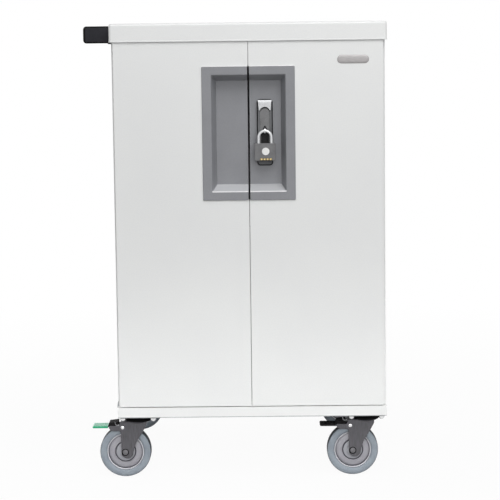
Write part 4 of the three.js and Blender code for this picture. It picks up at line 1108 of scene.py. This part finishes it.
# Brass: warm yellow metal, turned, a little dulled in the notches
brass = plated("turned_brass", "D2B370", "F8E2A8", 0.7, 1.0, 0.24, 0.38, (1, 1, 1))
for index, dial in enumerate(dials, 1):
    rings = []
    for side, inset in DIAL_PROFILE:
        ring = []
        for step, (cos, sin) in enumerate(hoop(1, DIAL_STEPS)):
            wave = math.cos(DIAL_NOTCHES * step / DIAL_STEPS * 2 * math.pi)
            radius = DIAL_RADIUS - inset - DIAL_NOTCH * max(0.0, wave) ** 3
            ring.append((dial.x + side, dial_y + radius * cos, dial_z + radius * sin))
        rings.append(ring)
    bore = shifted(hoop(DIAL_BORE, DIAL_STEPS), dial_y, dial_z)
    for side in (DIAL_PROFILE[-1][0], DIAL_PROFILE[0][0]):
        rings.append([(dial.x + side, y, z) for y, z in bore])
    node = f"padlock_dial_{index}"
    piece(node + "_wheel", smoothed(skinned(rings, closed=True)), brass, node)

# Casters: a black pressed plate bolted under the pan with dome nuts, a fork of dark coated
# steel on a double ball race, a bolt for an axle, and a grey rubber tyre on a grey hub.
WHEEL_STEPS = 96
WHEEL_RADIUS = 62.5
TRAIL = 33.5
TREAD_FROM = 61.2
# Tyre and hub, as (radius, side) from the axle: flat flanks that bulge a little and round
# shoulders; a boss, a shallow cover, a groove, a web that falls away, a groove and a rim lip
TYRE_FLANK = (
    (45.2, 12.6), (46.2, 14.2), (48.5, 15.3), (52, 15.9), (55.5, 16.0), (58.2, 15.5),
)
TYRE_SHOULDER = (58.6, 10.4)
TYRE_SHOULDER_ROUND = (3.9, 4.8)
HUB_PROFILE = (
    (6.3, 18.6), (12.4, 18.6), (13.0, 18.0), (13.0, 13.2), (21.6, 12.6), (22.8, 12.0), (23.3, 11.2),
    (23.6, 8.4), (25.4, 8.4), (25.7, 11.0), (26.4, 11.8), (34.0, 11.8), (38.4, 10.4), (40.6, 8.6),
    (41.5, 8.2), (42.0, 12.6), (42.6, 13.8), (43.7, 14.3), (44.8, 13.6),
)
COVER_TO = 22.9
GROOVE_TO = 25.8
RIM_GROOVE_FROM = 40.7
LIP_FROM = 41.9
AXLE_PROFILE = ((1.0, 23.7), (5.2, 23.5), (6.4, 22.7), (6.6, 21.6), (6.6, 20.6), (6.0, 20.5))
FORK_SIDES = (19.0, 22.5)
FORK_TOP = 139.4
FORK_ENDS = (-44.5, 19.0)
FORK_CROWN = 10.0
LEG_END = (-28.5, 61.5)
LEG_END_RADIUS = 14.5
LEG_NOSE = (
    (-47.5, 130.2), (-49.5, 128.4), (-71.0, 128.4), (-72.8, 126.8), (-72.4, 123.0), (-69.5, 118.2),
    (-65.0, 115.9), (-48.0, 115.9), (-45.0, 114.0), (-43.4, 110.0),
)
LEG_HEEL = (
    (-12.2, 70.0), (-10.0, 78.0), (-6.0, 88.0), (1.5, 100.0), (8.5, 111.0), (17.6, 128.0),
    (19.0, 131.5), (19.0, FORK_TOP),
)
RACE_PROFILE = (
    (26, 136), (29.5, 138.2), (31.6, 139.6), (33, 141.6), (33, 144.2), (31.8, 145.2), (31.0, 145.6),
    (31.8, 146.4), (33, 147.2), (33, 150.2), (32, 151.3), (7, 151.4), (7, 156.3),
)
BLACK_FROM = 139.7
AXLE_BORE = 6.4
COUNTERBORE = 8.9
COUNTERBORE_FLOOR = 20.4
NUT_PLACES = ((-36.6, -32), (36.6, -32), (36.6, 32), (-36.6, 32))
NUT_RADIUS = 7.2
NUT_DEPTH = 9.2
RIVET_PLACE = (-39.3, 124.9)
RIVET_RADIUS = 4.6
RIVET_RISE = 2.4
DOME_FOOT = 0.3
DOME_STRAIGHT = 0.18
DOME_STEPS = 6
DOME_SIDES = 24
SEATS_TREE = repeats("shape_on_each_seat", {"Seats": "Geometry"})


def on_seats(shape, seats, finish):
    """One shape, drawn about the cabinet's middle, on each seat in millimetres from there."""
    points = bpy.data.meshes.new("seats")
    points.from_pydata([tuple(v * MM for v in seat) for seat in seats], [], [])
    return baked(SEATS_TREE, points, shape, {"Finish": finish})


def dome(radius, rise, place):
    """A low dome with a straight foot; place says how its width and height lie."""
    profile = [(radius, -DOME_FOOT)]
    for cos, sin in arc(DOME_STEPS, 0, 90):
        height = rise * (DOME_STRAIGHT + (1 - DOME_STRAIGHT) * sin)
        profile.append((max(radius * cos, radius * 0.06), height))
    rings = [[place(u, v, h) for u, v in hoop(r, DOME_SIDES)] for r, h in profile]
    return smoothed(skinned(rings), 50)


def turned(half, closed=True):
    """A form turned about the wheel's axle from (radius, side) points and their mirror."""
    profile = [*half, *((radius, -side) for radius, side in reversed(half))]
    return smoothed(skinned([
        upright(hoop(radius, WHEEL_STEPS), -TRAIL, side, WHEEL_RADIUS) for radius, side in profile
    ], closed))


def moved(mesh, x, y):
    copy = mesh.copy()
    copy.transform(Matrix.Translation((x * MM, y * MM, 0)))
    return copy


tyre = turned([*TYRE_FLANK, *((
    TYRE_SHOULDER[0] + TYRE_SHOULDER_ROUND[0] * sin, TYRE_SHOULDER[1] + TYRE_SHOULDER_ROUND[1] * cos,
) for cos, sin in arc(6, 0, 90))])
hub = turned(HUB_PROFILE)
axle = turned(AXLE_PROFILE, closed=False)
nut = dome(NUT_RADIUS, NUT_DEPTH, lambda u, v, h: (u, v, -h))
rivet = dome(RIVET_RADIUS, RIVET_RISE, lambda u, v, h: (u, -h, v))


def fork_mesh(braked):
    """A fork: two legs under a crown and the ball race; a braked one has noses for its pedal."""
    back, front = FORK_ENDS
    inner, outer = FORK_SIDES
    leg = [(back, FORK_TOP), *(LEG_NOSE if braked else ())]
    leg += [*shifted(arc(12, 180, 360, LEG_END_RADIUS), *LEG_END), *LEG_HEEL]
    crown = rectangle(back, front, -outer + 0.5, outer - 0.5)
    mesh = eased(pushed(crown, "z", FORK_TOP - FORK_CROWN, FORK_TOP), 2.0, 3)
    for near, far in ((-outer, -inner), (inner, outer)):
        mesh = combined(mesh, eased(pushed(leg, "y", near, far), 1.1, 3))
    mesh = combined(mesh, skinned([
        [(u, v, z) for u, v in hoop(radius, WHEEL_STEPS)] for radius, z in RACE_PROFILE
    ]))
    for radius, near, far in (
        (AXLE_BORE, -outer - 1, outer + 1),
        (COUNTERBORE, -outer - 1, -COUNTERBORE_FLOOR),
        (COUNTERBORE, COUNTERBORE_FLOOR, outer + 1),
    ):
        mesh = cut(mesh, circle(-TRAIL, WHEEL_RADIUS, radius), "y", near, far)
    return smoothed(mesh)


# Rubber: blue-grey and matt, with the slight dull film of new caster rubber
grey_rubber = coated("grey_non_marking_rubber", "878F98", "969EA6", 26, 0.9, 0.12, 0.55, 0.72, DULL)
# Tread: the same rubber darkened with painted shade
tread_painted_shade = coated("tyre_tread_painted_shade", "3C3F43", "4A4D52", 20, 0.9, 0.12, 0.6, 0.78, DULL)
PP = {"IOR": 1.49}
# Hub: grey polypropylene with a soft moulded sheen; its lip and cover are painted paler, and its grooves
# are darkened with painted shade
hub_finishes = [
    coated("grey_moulded_polypropylene", "94939A", "A2A1A7", 30, 1.1, 0.08, 0.36, 0.5, PP),
    coated("pale_rim_polypropylene", "C0C0C6", "CECED3", 30, 1.1, 0.05, 0.3, 0.42, PP),
    coated("moulded_cover_polypropylene", "96979D", "A3A4AA", 30, 1.1, 0.05, 0.3, 0.42, PP),
    coated("hub_groove_painted_shade", "5A5A60", "68686E", 12, 0.9, 0.05, 0.6, 0.7, DULL),
]
# Fork steel: dark grey coating with faint upright press lines
dark_steel = plated("dark_coated_fork_steel", "474649", "5B5A5F", 1.6, 0.3, 0.42, 0.58, (1, 1, 14))
# Bolt steel: blackened, with a dull shine
bolt_steel = plated("blackened_bolt_steel", "5C5B5E", "706F72", 1.2, 0.3, 0.42, 0.58, (1, 1, 1))
# Plate steel: coated a flat, deep black; the same black paints shade on the fork's crown and race and in
# the counterbores round the axle bolt
black_steel_and_painted_shade = coated("black_plate_steel_and_painted_shade", "09090A", "0F0F10", 30, 1.4, 0.1, 0.72, 0.86, DEEP_MATT)
# Dome nuts and rivets: bright zinc that mirrors the room
bright_zinc = plated("bright_zinc_dome", "D6D7D8", "ECECEC", 2.0, 1.0, 0.16, 0.28)
forks = {"front": fork_mesh(True), "rear": fork_mesh(False)}


def hub_finish(radius):
    if radius > LIP_FROM:
        return 1
    if radius < COVER_TO:
        return 2
    return 0 if GROOVE_TO < radius < RIM_GROOVE_FROM else 3


for place in ("front_left", "front_right", "rear_left", "rear_right"):
    caster = place + "_caster"
    x, y, _ = middle(caster + "_plate")

    def from_axle(spot):
        return math.hypot(spot.x - x + TRAIL, spot.z - WHEEL_RADIUS)

    def fitted(part, ending, mesh, finishes, pick=None):
        node = f"{caster}_{part}"
        piece(f"{node}_{ending}", mesh, finishes, node, pick=pick)

    plate = eased(merged(caster + "_plate"), 1.0, 3)
    fitted("plate", "steel", plate, black_steel_and_painted_shade)
    fork = moved(forks[place.split("_")[0]], x, y)
    # Painted shade: the fork's crown and race, and its counterbores, take the deep black
    fitted("fork", "steel", fork, [dark_steel, black_steel_and_painted_shade], lambda spot, normal: (
        spot.z > BLACK_FROM or from_axle(spot) < COUNTERBORE + 0.2
    ))
    fitted("axle", "bolt", moved(axle, x, y), bolt_steel)
    # The tread, beyond TREAD_FROM, takes the painted shade
    fitted("tyre", "rubber", moved(tyre, x, y), [grey_rubber, tread_painted_shade], (
        lambda spot, normal: from_axle(spot) > TREAD_FROM
    ))
    fitted("hub", "moulding", moved(hub, x, y), hub_finishes, (
        lambda spot, normal: hub_finish(from_axle(spot))
    ))
    under = span(caster + "_plate")[0].z
    seats = [(u, v, under) for u, v in shifted(NUT_PLACES, x, y)]
    nuts = on_seats(nut, seats, bright_zinc)
    piece(caster + "_nuts", nuts, bright_zinc, body="cabinet")
    seat = (x + RIVET_PLACE[0], y - FORK_SIDES[1], RIVET_PLACE[1])
    head = on_seats(rivet, [seat], bright_zinc)
    piece(caster + "_rivet", head, bright_zinc, body=place + "_swivel")

# Brake pedals: a moulded polypropylene tread on each front caster, green on the left and
# black on the right, ribbed on top, on a black arm that turns between the fork's noses
# against a bent spring of zinc-plated wire.
PEDAL_LENGTH = 38.0
PEDAL_TOP = 127.4
PEDAL_RIBS = 8
RIB_PITCH = 4.0
RIB_HALF = 15.5
RIB_WIDE = 1.8
RIB_LEVELS = (-0.6, 1.0)
SPRING_WIRE = 0.6
SPRING_SIDES = 10
SPRING_POINTS = (
    (-57.6, 145.0), (-57.4, 141.5), (-56.4, 138.6), (-54.4, 137.2), (-51.0, 137.0), (-46.6, 137.8),
)
SPRING_DEPTH = 18.0


def wire(points, y):
    """A bent round wire through (x, z) points at one depth."""
    rings = []
    for index, (x, z) in enumerate(points):
        before = Vector(points[max(index - 1, 0)])
        after = Vector(points[min(index + 1, len(points) - 1)])
        along = (after - before).normalized()
        rings.append([
            (x - along.y * u, y + v, z + along.x * u) for u, v in hoop(SPRING_WIRE, SPRING_SIDES)
        ])
    return smoothed(skinned(rings), 60)


# Polypropylene: green with a soft satin sheen, made paler on top by painted light
green_pp = coated("green_polypropylene", "1C9067", "27A878", 20, 1.0, 0.06, 0.22, 0.34, PP, "84BFA8")
# The same plastic in black, scuffed dull
black_pp = coated("black_polypropylene", "1B1A1B", "262526", 20, 1.0, 0.06, 0.74, 0.88, DEEP_MATT)
for place, finish, slot, spring_drop in (
    ("front_left", green_pp, "green_plastic", 7.5), ("front_right", black_pp, "black_plastic", 0.0),
):
    node = place + "_brake_pedal"
    outer_x = span(node)[0].x
    y = middle(node).y
    rib_x = outer_x + RIB_PITCH
    rib = rectangle(rib_x, rib_x + RIB_WIDE, y - RIB_HALF, y + RIB_HALF)
    rib = eased(pushed(rib, "z", *(PEDAL_TOP + level for level in RIB_LEVELS)), 0.5)
    ribs = in_row(rib, PEDAL_RIBS, (RIB_PITCH, 0, 0), finish)
    pedal = smoothed(together(eased(merged(node), 0.9, 3), ribs), 45)
    piece(
        node + "_lever", pedal, [finish, black_pp], node,
        pick=lambda spot, normal: spot.x > outer_x + PEDAL_LENGTH,
    )
    bends = shifted(SPRING_POINTS, middle(place + "_caster_plate").x, -spring_drop)
    spring = wire(bends, y - SPRING_DEPTH)
    piece(place + "_brake_spring", spring, zinc_plate, body=place + "_swivel")
